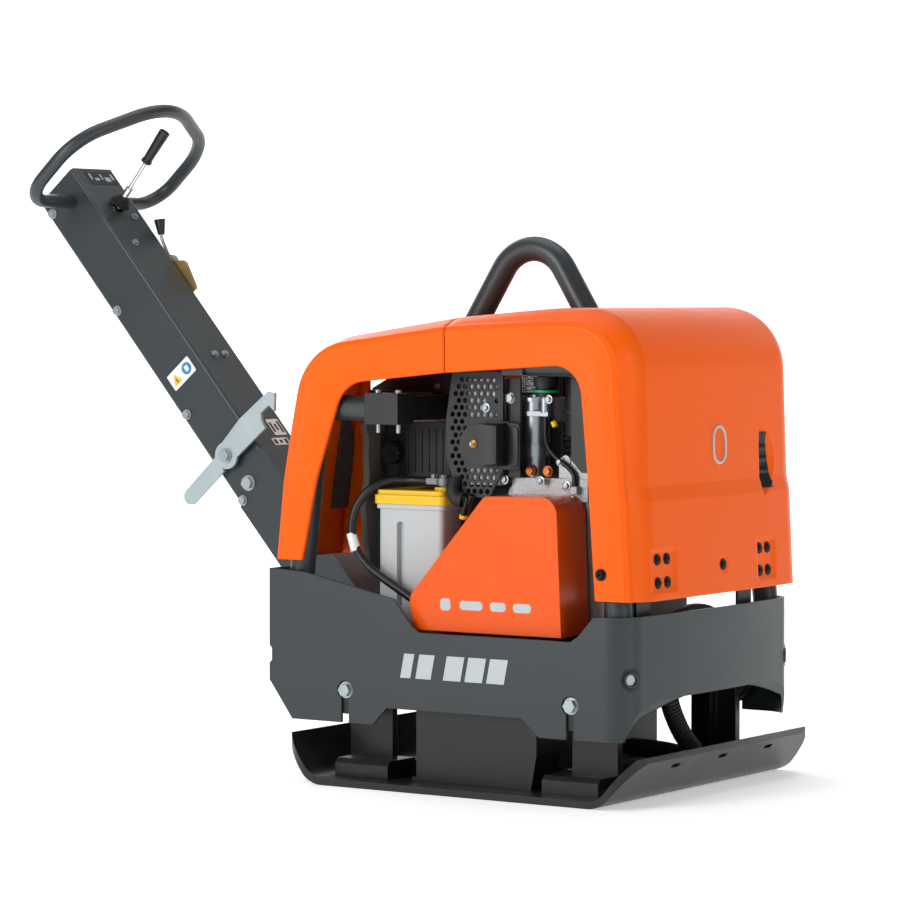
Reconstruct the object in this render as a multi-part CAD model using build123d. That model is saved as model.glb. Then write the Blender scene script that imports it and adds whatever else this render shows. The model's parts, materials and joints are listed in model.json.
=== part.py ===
from build123d import *
import os
from math import atan2, copysign, cos, degrees, hypot, pi, radians, sin, tan

# Forward and reversible plate compactor. Millimetres, +X forward, +Y left, +Z up.
# The origin lies on the ground under the middle of the sole plate.

# ---- sole plate ----
PLATE_LENGTH = 690.0
PLATE_WIDTH = 600.0
PLATE_THICK = 12.0
LIP_RUN = 63.0
LIP_RISE = 73.0
LIP_BEND_R = 40.0
PLATE_CORNER_R = 58.0

# ---- rubber mounts ----
MOUNT_X = (-228.0, 210.0)
MOUNT_Z = 157.0
POST_FACE = 203.0
BUFFER_R = 36.0
BUFFER_END = 260.0
FOOT_OUTER = 256.0
FOOT_INNER = 150.0

# ---- exciter ----
SHAFT_Z = 72.0
SHAFT_REAR_X = -50.0
SHAFT_SPACING = 86.0
SHAFT_R = 15.0
GEAR_TEETH = 20

# ---- belt drive ----
CRANK_X = 96.0
CRANK_Z = 392.0
CLUTCH_R = 55.0
EXCITER_PULLEY_R = 44.0
BELT_Y = -204.0
BELT_WIDTH = 18.0
BELT_THICK = 8.0

# ---- chassis ----
GUARD_SIDE = 273.0
GUARD_THICK = 5.0
GUARD_CORNER_R = 50.0
GUARD_FRONT_X = 317.0
GUARD_BOW = 11.0
GUARD_REAR_X = -383.0
BED_TOP = 256.0
BED_THICK = 6.0
FRAME_R = 21.0
FRAME_Y = 236.0
BEAM = 40.0
REAR_BEAM_X = -156.0
REAR_BEAM_Z = 622.0
FRONT_BEAM_X = 90.0
FRONT_BEAM_Z = 700.0
EYE_TOP = 886.0

# ---- hood ----
HOOD_SIDE = 270.0
HOOD_FLAT = 214.0
HOOD_THICK = 3.5
HOOD_SPLIT_X = -33.0
HOOD_GAP = 2.0
HOOD_FRONT_Z = 326.0
HOOD_REAR_Z = 368.0
HOOD_BOW = 3.0
HINGE_X = 312.0
HINGE_Z = 345.0
HINGE_Y = (-192.0, 134.5)

# ---- drawbar ----
PIVOT = (-318.0, 0.0, 180.0)
DRAWBAR_ANGLE = 49.5
BAR_HALF_W = 57.5
BAR_HALF_D = 49.0
BAR_START = 60.0
BAR_END = 1086.0
PIVOT_PIN_R = 12.0
LOOP_T = 1040.0
LOOP_N = 8.8
LOOP_R = 12.0
LOOP_TILT = 2.0
STICK_T = 993.0
THROTTLE_T = 874.0
THROTTLE_N = 38.0
LATCH_T = 465.0
LATCH_N = -9.0

RUNNING = 0.05


# ---------------------------------------------------------------- helpers
def block(x0, x1, y0, y1, z0, z1):
    """Box between two opposite corners."""
    middle = Pos((x0 + x1) / 2, (y0 + y1) / 2, (z0 + z1) / 2)
    return middle * Box(x1 - x0, y1 - y0, z1 - z0)


def rod_x(y, z, radius, x0, x1):
    return Pos((x0 + x1) / 2, y, z) * Rot(0, 90, 0) * Cylinder(radius, x1 - x0)


def rod_y(x, z, radius, y0, y1):
    return Pos(x, (y0 + y1) / 2, z) * Rot(90, 0, 0) * Cylinder(radius, y1 - y0)


def rod_z(x, y, radius, z0, z1):
    return Pos(x, y, (z0 + z1) / 2) * Cylinder(radius, z1 - z0)


def rod_between(start, end, radius):
    """Round rod between two points."""
    run = end - start
    stand = (Align.CENTER, Align.CENTER, Align.MIN)
    return Plane(origin=start, z_dir=run) * Cylinder(radius, run.length, align=stand)


def side_prism(points, y0, y1):
    """Straight-sided outline in X and Z, pushed through from y0 to y1."""
    outline = make_face(Polyline(*[(x, y0, z) for x, z in points], close=True))
    return extrude(outline, amount=y1 - y0, dir=(0, 1, 0))


def rounded_prism(points, radii, y0, y1):
    """As side_prism, with a radius at each corner."""
    path = FilletPolyline(*[(x, y0, z) for x, z in points], radius=radii, close=True)
    return extrude(make_face(path), amount=y1 - y0, dir=(0, 1, 0))


def hex_y(x, z, across_flats, y0, y1):
    """Hexagon bar along Y."""
    radius = across_flats / 2 / cos(pi / 6)
    corners = [(x + radius * cos(k * pi / 3), z + radius * sin(k * pi / 3)) for k in range(6)]
    return side_prism(corners, y0, y1)


def hex_z(x, y, across_flats, z0, z1):
    """Hexagon bar along Z."""
    profile = Pos(x, y, z0) * RegularPolygon(across_flats / 2, 6, major_radius=False)
    return extrude(profile, amount=z1 - z0)


def tube_along(points, radii, radius):
    """Round bar whose centre line is straight runs joined by tangent arcs."""
    path = FilletPolyline(*points, radius=radii)
    start = Plane(origin=path @ 0, z_dir=path % 0)
    return sweep(start * Circle(radius), path=path)


def soft_radii(points):
    """The largest even arc that the two runs at each corner leave room for."""
    radii = []
    for before, corner, after in zip(points, points[1:], points[2:]):
        first = Vector(*corner) - Vector(*before)
        second = Vector(*after) - Vector(*corner)
        half_turn = radians(first.get_angle(second)) / 2
        radii.append(0.45 * min(first.length, second.length) / tan(half_turn))
    return radii


def cord(name, points, radius):
    """Flexible lead made whole along its route, with its bend radii printed."""
    radii = soft_radii(points)
    solid = tube_along(points, radii, radius)
    length = FilletPolyline(*points, radius=radii).length
    section = pi * radius * radius * length
    print(name, "radii", [round(value) for value in radii], "length", round(length))
    print(name, "volume over section times length", round(solid.volume / section, 4))
    return solid


def mirrored(shape):
    """The same shape on the other side of the machine."""
    return mirror(shape, about=Plane.XZ)


def group(*shapes):
    return Compound(children=list(shapes))


def save(name, shape):
    export_step(shape, f"parts/{name}.step")


def bolt_y(x, z, size, y_face, side, shank):
    """Hexagon bolt with a washer on a face at y_face; side is -1 or +1 outwards."""
    washer = side * size * 0.18
    head = washer + side * size * 0.65
    spans = [sorted((y_face, y_face + washer)), sorted((y_face + washer, y_face + head))]
    stem = sorted((y_face - side * shank, y_face))
    solid = rod_y(x, z, size * 1.15, *spans[0])
    solid += hex_y(x, z, size * 1.6, *spans[1])
    solid += rod_y(x, z, size / 2, *stem)
    return solid


def bolt_z(x, y, size, z_face, shank):
    """Hexagon bolt with a washer, head up, on a face at z_face."""
    solid = rod_z(x, y, size * 1.15, z_face, z_face + size * 0.18)
    solid += hex_z(x, y, size * 1.6, z_face + size * 0.18, z_face + size * 0.83)
    solid += rod_z(x, y, size / 2, z_face - shank, z_face)
    return solid


# ---------------------------------------------------------------- base
def sole_plate():
    """Rolled plate with both ends turned up, corners rounded, three lip slots in front."""
    half = PLATE_LENGTH / 2
    flat = half - LIP_RUN
    lean = atan2(LIP_RISE, LIP_RUN)
    in_x = PLATE_THICK * sin(lean)
    in_z = PLATE_THICK * cos(lean)
    flat_top = flat - PLATE_THICK * tan(lean / 2)
    under = [(-half, LIP_RISE), (-flat, 0), (flat, 0), (half, LIP_RISE)]
    over = [(half - in_x, LIP_RISE + in_z), (flat_top, PLATE_THICK)]
    over += [(-flat_top, PLATE_THICK), (-half + in_x, LIP_RISE + in_z)]
    outer_r = LIP_BEND_R + PLATE_THICK
    radii = [0.6, outer_r, outer_r, 0.6, 0.6, LIP_BEND_R, LIP_BEND_R, 0.6]
    half_w = PLATE_WIDTH / 2
    plate = rounded_prism(under + over, radii, -half_w, half_w)
    plan = RectangleRounded(PLATE_LENGTH + 2, PLATE_WIDTH, PLATE_CORNER_R)
    plate &= extrude(plan, amount=LIP_RISE + 20)
    for y in (-151, 0, 151):
        slot = Pos(half - 12, y, LIP_RISE - 14) * Rot(0, -degrees(lean), 0)
        plate -= slot * extrude(SlotOverall(26, 9, rotation=90), amount=30, both=True)
    return plate


def mount_post(x):
    """Welded foot block, upright plate and the inner steel disc of one buffer."""
    ends = sorted((copysign(FOOT_OUTER, x), copysign(FOOT_INNER, x)))
    foot = block(*ends, -262, -176, PLATE_THICK, 42)
    foot = chamfer(foot.edges().filter_by(Axis.X).group_by(Axis.Z)[-1], 8)
    upright = side_prism(
        [(x - 43, 30), (x + 43, 30), (x + 43, 185), (x + 28, 200), (x - 28, 200), (x - 43, 185)],
        -POST_FACE + 6,
        -POST_FACE + 20,
    )
    rib = block(x - 6, x + 6, -POST_FACE + 20, -POST_FACE + 40, 30, 150)
    disc = rod_y(x, MOUNT_Z, BUFFER_R + 4, -POST_FACE, -POST_FACE + 6)
    return foot + upright + rib + disc


def mount_posts():
    near = [mount_post(x) for x in MOUNT_X]
    return group(*near, *[mirrored(post) for post in near])


def rubber_buffers():
    """Four bonded rubber cylinders lying across the machine."""
    near = []
    for x in MOUNT_X:
        body = rod_y(x, MOUNT_Z, BUFFER_R, -BUFFER_END, -POST_FACE)
        groove = rod_y(x, MOUNT_Z, BUFFER_R + 1, -BUFFER_END + 18, -POST_FACE - 18)
        waist = rod_y(x, MOUNT_Z, BUFFER_R - 5, -BUFFER_END + 18, -POST_FACE - 18)
        near.append(body - (groove - waist))
    return group(*near, *[mirrored(item) for item in near])


def outer_discs():
    """Steel discs of the buffers on the chassis side, bored for their bolts."""
    near = []
    for x in MOUNT_X:
        disc = rod_y(x, MOUNT_Z, BUFFER_R + 4, -GUARD_SIDE + GUARD_THICK, -BUFFER_END)
        near.append(disc - rod_y(x, MOUNT_Z, 6 + RUNNING, -280, -255))
    return group(*near, *[mirrored(item) for item in near])


HOUSING_X = (-112.0, 98.0)
HOUSING_Y = (-158.0, 186.0)
HOUSING_TOP = 130.0
SHAFT_X = (SHAFT_REAR_X, SHAFT_REAR_X + SHAFT_SPACING)


def exciter_housing():
    """Cast box with flanges, a cavity for the weights and gears, and bearing bores."""
    x0, x1 = HOUSING_X
    y0, y1 = HOUSING_Y
    shell = block(x0, x1, y0, y1, PLATE_THICK, HOUSING_TOP)
    shell = fillet(shell.edges().filter_by(Axis.Y).group_by(Axis.Z)[-1], 14)
    shell += block(x0 - 30, x1 + 30, y0 + 10, y1 - 10, PLATE_THICK, PLATE_THICK + 14)
    shell -= block(x0 + 12, x1 - 12, y0 + 26, y1 - 26, 24, HOUSING_TOP - 10)
    for x in SHAFT_X:
        shell -= rod_y(x, SHAFT_Z, 31 + RUNNING, y0 - 1, y0 + 27)
        shell -= rod_y(x, SHAFT_Z, 31 + RUNNING, y1 - 27, y1 + 1)
    for x, y in exciter_bolt_places():
        shell -= rod_z(x, y, 6 + RUNNING, PLATE_THICK, PLATE_THICK + 15)
    return shell


def exciter_bolt_places():
    return [
        (x, y)
        for x in (HOUSING_X[0] - 15.5, HOUSING_X[1] + 15.5)
        for y in (HOUSING_Y[0] + 34, 14, HOUSING_Y[1] - 34)
    ]


def cover_bolt_places():
    return [(x, z) for x in (HOUSING_X[0] + 19, HOUSING_X[1] - 19) for z in (32, 113)]


def exciter_covers():
    """End plates that close the bearing bores; the near one lets the driven shaft out."""
    y0, y1 = HOUSING_Y
    near = block(HOUSING_X[0] + 6, HOUSING_X[1] - 6, y0 - 7, y0, 24, 122)
    near -= rod_y(SHAFT_X[0], SHAFT_Z, SHAFT_R + 1.5, y0 - 9, y0 + 2)
    far = block(HOUSING_X[0] + 6, HOUSING_X[1] - 6, y1, y1 + 7, 24, 122)
    for x, z in cover_bolt_places():
        near -= rod_y(x, z, 3 + RUNNING, y0 - 9, y0 + 1)
        far -= rod_y(x, z, 3 + RUNNING, y1 - 1, y1 + 9)
    return group(near, far)


def exciter_bearings():
    """Four roller bearings, two to a shaft."""
    rings = []
    for x in SHAFT_X:
        for y in (HOUSING_Y[0] + 4, HOUSING_Y[1] - 20):
            ring = rod_y(x, SHAFT_Z, 31, y, y + 16) - rod_y(x, SHAFT_Z, SHAFT_R + RUNNING, y - 1, y + 17)
            rings.append(ring)
    return group(*rings)


def gear(x, phase):
    """Spur gear with straight-flanked teeth cut slim for backlash."""
    pitch = SHAFT_SPACING / 2
    module = 2 * pitch / GEAR_TEETH
    stations = [(pitch - 1.25 * module, 4.5), (pitch + 0.9 * module, 1.4)]
    outline = []
    for tooth in range(GEAR_TEETH):
        middle = phase + tooth * 2 * pi / GEAR_TEETH
        left = [(radius, middle - half / radius) for radius, half in stations]
        right = [(radius, middle + half / radius) for radius, half in reversed(stations)]
        outline += [(x + r * cos(a), SHAFT_Z + r * sin(a)) for r, a in left + right]
    return side_prism(outline, 126, 150)


def exciter_shaft(x, y0, phase):
    """Shaft with its half-round eccentric weight and its timing gear in one piece."""
    shaft = rod_y(x, SHAFT_Z, SHAFT_R, y0, HOUSING_Y[1] - 3)
    weight = rod_y(x, SHAFT_Z, 39, -90, 90) - block(x - 50, x + 50, -100, 100, SHAFT_Z + 6, 200)
    return shaft + weight + gear(x, phase)


def pulley(x, z, radius, y0, y1, bore):
    """Grooved belt pulley with rims, a thin web and a hub."""
    rim = rod_y(x, z, radius + 4, y0, y1) - rod_y(x, z, radius - 8, y0 - 1, y1 + 1)
    middle = (y0 + y1) / 2
    groove = BELT_WIDTH / 2 + 0.5
    rim -= rod_y(x, z, radius + 6, middle - groove, middle + groove)
    rim += rod_y(x, z, radius, y0, y1) - rod_y(x, z, radius - 8, y0 - 1, y1 + 1)
    rim += rod_y(x, z, radius - 6, middle - 4, middle + 4)
    rim += rod_y(x, z, bore + 9, y0, y1)
    return rim - rod_y(x, z, bore + RUNNING, y0 - 1, y1 + 1)


def exciter_pulley():
    wheel = pulley(SHAFT_X[0], SHAFT_Z, EXCITER_PULLEY_R, -220, -188, SHAFT_R)
    nut = hex_y(SHAFT_X[0], SHAFT_Z, 30, -230, -222.5)
    return wheel + nut + rod_y(SHAFT_X[0], SHAFT_Z, 23, -222.5, -219.2)


def clutch_pulley():
    """Centrifugal clutch drum with the belt groove round it."""
    wheel = pulley(CRANK_X, CRANK_Z, CLUTCH_R, -220, -188, 14)
    drum = rod_y(CRANK_X, CRANK_Z, 50, -200, -186) - rod_y(CRANK_X, CRANK_Z, 14 + RUNNING, -202, -180)
    return wheel + drum


def drive_belt():
    """V-belt round both pulleys, a little clear of their grooves."""
    low = (SHAFT_X[0], SHAFT_Z)
    high = (CRANK_X, CRANK_Z)
    gap = 0.4
    outer = belt_loop(low, high, EXCITER_PULLEY_R + gap + BELT_THICK, CLUTCH_R + gap + BELT_THICK)
    inner = belt_loop(low, high, EXCITER_PULLEY_R + gap, CLUTCH_R + gap)
    return outer - inner


def belt_loop(low, high, low_r, high_r):
    """Solid stadium of two circles and their outside tangents."""
    y0 = BELT_Y - BELT_WIDTH / 2
    y1 = BELT_Y + BELT_WIDTH / 2
    run = hypot(high[0] - low[0], high[1] - low[1])
    heading = atan2(high[1] - low[1], high[0] - low[0])
    spread = pi / 2 + (high_r - low_r) / run
    corners = []
    for centre, radius, side in ((low, low_r, 1), (high, high_r, 1), (high, high_r, -1), (low, low_r, -1)):
        angle = heading + side * spread
        corners.append((centre[0] + radius * cos(angle), centre[1] + radius * sin(angle)))
    body = side_prism(corners, y0, y1)
    return body + rod_y(*low, low_r, y0, y1) + rod_y(*high, high_r, y0, y1)


def pulley_guard():
    """Folded box on the sole plate round the exciter pulley, open at the top for the belt."""
    outline = [(-108, PLATE_THICK), (116, PLATE_THICK), (126, 70), (126, 142), (-108, 142)]
    inner = [(-104, PLATE_THICK + 4), (112.5, PLATE_THICK + 4), (122, 70), (122, 160), (-104, 160)]
    box = side_prism(outline, -240, -167)
    box -= side_prism(inner, -236, -165.5)
    box += block(-112, 120, -246, -240, PLATE_THICK, PLATE_THICK + 7)
    return box


def corrugated_hose():
    """Ribbed sleeve over the control hose, from the bed down to the exciter."""
    route = [(262, -66, 250), (264, -66, 196), (266, -58, 144), (268, -22, 92), (262, 34, 58)]
    route += [(222, 70, 44), (180, 79, 48), (138, 80, 50), (HOUSING_X[1], 80, 50)]
    sleeve = cord("corrugated_hose", route, 13)
    path = FilletPolyline(*route, radius=soft_radii(route))
    pitch = 6.0
    count = int(path.length / pitch) - 1
    for k in range(1, count):
        at = k * pitch / path.length
        sleeve += Plane(origin=path @ at, z_dir=path % at) * Cylinder(15.5, 3.2)
    return sleeve


def base_bolts():
    """Flange bolts of the exciter and the bolts of its end covers."""
    items = [bolt_z(x, y, 12, PLATE_THICK + 14, 13) for x, y in exciter_bolt_places()]
    y0, y1 = HOUSING_Y
    for x, z in cover_bolt_places():
        items.append(bolt_y(x, z, 6, y0 - 7, -1, 6.5))
        items.append(bolt_y(x, z, 6, y1 + 7, 1, 6.5))
    return group(*items)


# ---------------------------------------------------------------- chassis
def guard_plan(inset, rear):
    """Plan outline of the guard: straight sides, round front corners, bowed front."""
    side = GUARD_SIDE - inset
    corner = GUARD_CORNER_R - inset
    front = GUARD_FRONT_X - inset
    mid = (front - corner * (1 - cos(pi / 4)), side - corner * (1 - sin(pi / 4)))
    near = Line((rear, -side), (front - corner, -side))
    near_arc = ThreePointArc((front - corner, -side), (mid[0], -mid[1]), (front, -side + corner))
    nose = ThreePointArc((front, -side + corner), (front + GUARD_BOW, 0), (front, side - corner))
    far_arc = ThreePointArc((front, side - corner), (mid[0], mid[1]), (front - corner, side))
    far = Line((front - corner, side), (rear, side))
    back = Line((rear, side), (rear, -side))
    return make_face(near + near_arc + nose + far_arc + far + back)


def guard_profile():
    """Side outline of the guard, with the dip for the belt cover and the raised sill."""
    top = [(-383, 353), (-310, 349), (-131, 312), (-92, 266), (-81, 259), (210, 259)]
    top += [(225, 269), (253, 300), (345, 302)]
    front = [(345, 166), (321, 166), (300, 103)]
    bottom = [(151, 103), (119, 132), (-145, 132), (-173, 103), (-336, 103)]
    rear = [(-383, 166), (-383, 194), (-378, 199), (-378, 219), (-383, 224)]
    return top + front + bottom + rear


def keyhole(x):
    """Bolt access hole with a slot down to the lower edge."""
    return rod_y(x, MOUNT_Z, 15.5, -300, 300) + block(x - 7.5, x + 7.5, -300, 300, 90, MOUNT_Z)


CORNER_HOLE = Plane(
    origin=(GUARD_FRONT_X - GUARD_CORNER_R, -GUARD_SIDE + GUARD_CORNER_R, 202),
    z_dir=(cos(radians(32)), -sin(radians(32)), 0),
)


def guard():
    """Bent sheet that wraps the sides and the front, with inward flanges at the rear."""
    solid = extrude(guard_plan(0, GUARD_REAR_X), amount=400)
    solid -= extrude(guard_plan(GUARD_THICK, GUARD_REAR_X - 10), amount=400)
    inner = GUARD_SIDE - GUARD_THICK
    flange = block(GUARD_REAR_X, GUARD_REAR_X + GUARD_THICK, 198, inner + 1, 150, 400)
    solid += flange + mirrored(flange)
    solid &= side_prism(guard_profile(), -300, 300)
    for x in MOUNT_X:
        solid -= keyhole(x)
    port = CORNER_HOLE * Pos(0, 0, GUARD_CORNER_R) * Cylinder(13, 24)
    return solid - port - mirrored(port)


def guard_ports():
    """Turned ring with a recessed screw that lines each front corner hole."""
    ring = CORNER_HOLE * Pos(0, 0, GUARD_CORNER_R - 6) * Cylinder(12.9, 16)
    ring -= CORNER_HOLE * Pos(0, 0, GUARD_CORNER_R) * Cylinder(9.5, 16)
    return ring, mirrored(ring)


def chassis_bed():
    """Bed plate with the belt opening, rear wings, stiffening ribs and pivot cheeks."""
    low = BED_TOP - BED_THICK
    inside = Pos(0, 0, low) * extrude(guard_plan(GUARD_THICK, -377.5), amount=BED_THICK)
    inside -= block(-400, -228, -70, 70, low - 1, BED_TOP + 1)
    inside -= block(-70, 170, -250, -172, low - 1, BED_TOP + 1)
    inside -= rod_z(262, -66, 16.5, low - 1, BED_TOP + 1)
    rib = block(-222, 292, 120, 126, low - 44, low)
    inside += rib + block(-222, 292, -152, -146, low - 44, low)
    cheek = side_prism(
        [(-372, low), (-236, low), (-236, 210), (-282, 134), (-344, 134), (-372, 168)], 68, 78
    )
    cheek -= rod_y(PIVOT[0], PIVOT[2], PIVOT_PIN_R + RUNNING, 60, 90)
    inside += cheek + mirrored(cheek)
    inside += block(-236, -224, -152, 152, low - 70, low)
    return inside


def frame_tubes():
    """Four bent tubes of the roll-over frame, one at each corner."""
    rear = tube_along(
        [(-354, -FRAME_Y, BED_TOP - 20), (-309, -FRAME_Y, REAR_BEAM_Z), (-176, -FRAME_Y, REAR_BEAM_Z)],
        [40],
        FRAME_R,
    )
    front = tube_along(
        [(286, -FRAME_Y, BED_TOP - 20), (238, -FRAME_Y, FRONT_BEAM_Z), (110, -FRAME_Y, FRONT_BEAM_Z)],
        [62],
        FRAME_R,
    )
    rear += block(-376, -326, -262, -212, BED_TOP, BED_TOP + 6)
    below = block(-400, 400, -300, 0, 200, BED_TOP)
    rear -= below
    front -= below
    return group(rear, mirrored(rear), front, mirrored(front))


STRIKER = (-293.6, 636.7)


def frame_beams():
    """Square cross beams, the U plates on their ends and the pin that the latch hooks."""
    half = BEAM / 2
    end = FRAME_Y + FRAME_R
    rear = block(
        REAR_BEAM_X - half, REAR_BEAM_X + half, -end, end, REAR_BEAM_Z - half, REAR_BEAM_Z + half
    )
    front = block(
        FRONT_BEAM_X - half, FRONT_BEAM_X + half, -end, end, FRONT_BEAM_Z - half, FRONT_BEAM_Z + half
    )
    wrap = block(-196, -130, -262, -214, REAR_BEAM_Z - 25.5, REAR_BEAM_Z + 25.5)
    wrap -= block(-197, REAR_BEAM_X + half, -258, -213, REAR_BEAM_Z - 21.6, REAR_BEAM_Z + 21.6)
    arms = side_prism([(-306, 626), (-306, 648), (-176, 646), (-176, 612), (-280, 624)], -92, -86)
    arms += side_prism([(-306, 626), (-306, 648), (-176, 646), (-176, 612), (-280, 624)], -55, -49)
    striker = rod_y(STRIKER[0], STRIKER[1], 8, -92, -49)
    return group(rear + arms + striker, front, wrap, mirrored(wrap))


def lifting_eye():
    """Bent round bar that stands on both beams and comes out through the hood."""
    rise = radians(58)
    half = (FRONT_BEAM_X - REAR_BEAM_X) / 2
    centre = (FRONT_BEAM_X + REAR_BEAM_X) / 2
    bend_r = 70
    peak = EYE_TOP + bend_r * (1 / cos(rise) - 1)
    shoulder = peak - half * tan(rise)
    route = [
        (REAR_BEAM_X, 0, REAR_BEAM_Z + BEAM / 2),
        (REAR_BEAM_X, 0, shoulder),
        (centre, 0, peak),
        (FRONT_BEAM_X, 0, shoulder),
        (FRONT_BEAM_X, 0, FRONT_BEAM_Z + BEAM / 2),
    ]
    return tube_along(route, [60, bend_r, 40], FRAME_R)


def pivot_pin():
    """Hinge pin of the drawbar with a head and a lock ring outside the cheeks."""
    pin = rod_y(PIVOT[0], PIVOT[2], PIVOT_PIN_R, -84, 84)
    head = rod_y(PIVOT[0], PIVOT[2], 18, -88, -79)
    ring = rod_y(PIVOT[0], PIVOT[2], 16, 79, 84)
    return pin + head + ring


BRACKET_BOLTS = ((35, 641), (35, 540))


def chassis_bolts():
    """Buffer bolts seen in the keyholes, port screws, beam bolts and engine bolts."""
    items = []
    for x in MOUNT_X:
        bolt = bolt_y(x, MOUNT_Z, 12, -GUARD_SIDE + GUARD_THICK, -1, 7.5)
        items += [bolt, mirrored(bolt)]
    screw = CORNER_HOLE * Pos(0, 0, GUARD_CORNER_R - 5) * Cylinder(8.5, 5)
    items += [screw, mirrored(screw)]
    for x in (-186, -146):
        bolt = Pos(x, -236, REAR_BEAM_Z + 25.5) * Cylinder(6, 5, align=(Align.CENTER, Align.CENTER, Align.MIN))
        stud = rod_z(x, -236, 4, REAR_BEAM_Z - 40, REAR_BEAM_Z - 25.5)
        items += [bolt, stud, mirrored(bolt), mirrored(stud)]
    for x, z in BRACKET_BOLTS:
        items.append(bolt_y(x, z, 8, -177, -1, 3.5))
    return group(*items)


# ---------------------------------------------------------------- engine
def crankcase():
    """Cast crankcase with feet, a side boss for the crank and a cover flange on top."""
    body = block(20, 204, -160, 104, BED_TOP + 6, 500)
    body = fillet(body.edges().filter_by(Axis.Y), 16)
    body += block(30, 176, -165, -66, 474, 512)
    for x in (38, 186):
        body += block(x - 16, x + 16, -150, 110, BED_TOP, BED_TOP + 16)
    body += rod_y(CRANK_X, CRANK_Z, 58, -172, -159)
    body -= rod_y(CRANK_X, CRANK_Z, 14 + RUNNING, -180, 110)
    body += rod_y(86, 509, 6, -171, -165)
    body += rod_y(134, 541, 9, -166, -120) + block(120, 180, -164, -120, 500, 546)
    return body + block(146, 162, -177, -164, 488, 500)


def crankshaft():
    """Crankshaft stub that carries the clutch, with the fan wheel at its other end."""
    shaft = rod_y(CRANK_X, CRANK_Z, 14, -226, 118)
    fan = rod_y(CRANK_X, CRANK_Z, 74, 122, 132)
    for k in range(12):
        blade = Pos(CRANK_X, 142, CRANK_Z) * Rot(0, 30 * k, 0) * Pos(52, 0, 0) * Box(36, 20, 4)
        fan += blade
    return shaft + rod_y(CRANK_X, CRANK_Z, 20, 112, 130) + fan


def cylinder_barrel():
    """Air-cooled barrel: a core with eight square cooling fins."""
    barrel = rod_z(112, -10, 52, 500, 600)
    for k in range(8):
        z = 520 + 10 * k
        barrel += fillet(block(46, 178, -58, 62, z, z + 3.5).edges().filter_by(Axis.Z), 20)
    return barrel


def cylinder_head():
    """Finned head with the rocker cover on it."""
    head = fillet(block(44, 180, -80, 60, 600, 640).edges().filter_by(Axis.Z), 16)
    cover = fillet(block(82, 174, -68, 48, 640, 674).edges().filter_by(Axis.Z), 14)
    return head + cover


def fan_shroud():
    """Sheet cowl round the front of the cylinder, open to the rear and below."""
    outer = side_prism([(166, 544), (186, 524), (240, 524), (232, 688), (166, 688)], -200, 176)
    inner = side_prism([(160, 541), (184, 520), (236.5, 520), (229, 685), (160, 685)], -197, 173)
    return outer - inner


def muffler():
    """Welded silencer box with its stub into the head."""
    can = fillet(block(-62, 20, -178, -62, 498, 672).edges().filter_by(Axis.Z), 18)
    return can + rod_x(-70, 620, 15, 18, 44)


GUARD_CORNERS = ((-70, 684), (-83, 604), (-83, 546), (-69, 505), (-43, 478), (2, 478), (29, 524), (29, 684))


def muffler_guard():
    """Flat perforated heat guard with staggered round holes and a folded return."""
    plate = side_prism(GUARD_CORNERS, -190, -187)
    pitch = 12.4
    holes = []
    for row in range(17):
        for column in range(9):
            x = -76 + column * pitch + (row % 2) * pitch / 2
            z = 488 + row * pitch * 0.92
            if hole_fits(x, z):
                holes.append(rod_y(x, z, 4.3, -192, -185))
    plate -= holes
    fold = block(22, 25, -187, -179, 530, 684)
    return plate + fold


def hole_fits(x, z):
    """True where a hole keeps a rim to the plate's edge and misses its fittings."""
    left_slope = -69 - (z - 505) * 0.3 if z < 546 else -83
    upper = -83 + max(0, z - 604) * 0.16
    low_edge = 478 + max(0, x - 2) * 1.7
    inside = x > max(left_slope, upper) + 9 and x < 19 and low_edge + 9 < z < 676
    corner = x + z > -43 + 478 + 16 - 4
    deflector = x > -42 and 530 < z < 606
    bolt = hypot(x - 5, z - 628) < 13
    return inside and corner and not deflector and not bolt


def exhaust_deflector():
    """Pressed hood over the outlet: flat flange and a raised round-nosed box."""
    flange = block(18, 74, -194, -190, 526, 602)
    nose = side_prism([(0, 538), (40, 538), (40, 598), (0, 598)], -216, -190)
    nose += rod_y(-4, 568, 30, -216, -190)
    rim = block(-10, 46, -208, -190, 594, 600) + block(-10, 46, -208, -190, 534, 540)
    stud = rod_y(-12, 568, 4.5, -232, -216) + hex_y(-12, 568, 13, -222, -216)
    return flange + nose + rim + stud


def engine_bracket():
    """Narrow upright plate between the silencer and the pump, bolted twice."""
    plate = block(31, 54, -177, -173, 512, 674)
    plate += block(31, 54, -173, -162, 512, 518)
    for x, z in BRACKET_BOLTS:
        plate -= rod_y(x, z, 4 + RUNNING, -180, -170)
    return plate


def air_filter():
    """Round filter canister and, beside it, the filler cap with its ring."""
    can = rod_z(136, -124, 25, 580, 674) + rod_z(136, -124, 27, 616, 622)
    cap = rod_z(92, -160, 20, 660, 676) + rod_z(92, -160, 22, 650, 656) + rod_z(92, -160, 17, 643, 660)
    return group(can, cap)


def injection_pump():
    """Upright pump barrel with a collar, standing on the crankcase top."""
    barrel = rod_z(61, -141, 19, 566, 638) + rod_z(61, -141, 16, 512, 570)
    barrel += rod_z(61, -141, 21, 545, 566) + rod_z(61, -141, 23, 636, 642)
    barrel += rod_z(92, -160, 8, 618, 643) + block(60, 100, -166, -150, 612, 620)
    return barrel


def fuel_hose():
    """Fuel hose from the filler neck down to the crankcase."""
    route = [(92, -160, 612), (92, -160, 594), (95, -165, 576), (104, -170, 560)]
    route += [(118, -172, 547), (138, -171, 534), (154, -170, 520), (154, -170, 500)]
    hose = cord("fuel_hose", route, 4)
    return hose


def banjo_bolts():
    """Copper-washered unions on the crankcase flange."""
    items = []
    for x in (67, 100):
        items.append(rod_y(x, 523, 9, -166, -159) + hex_y(x, 523, 12, -171, -166))
    return group(*items)


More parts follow.
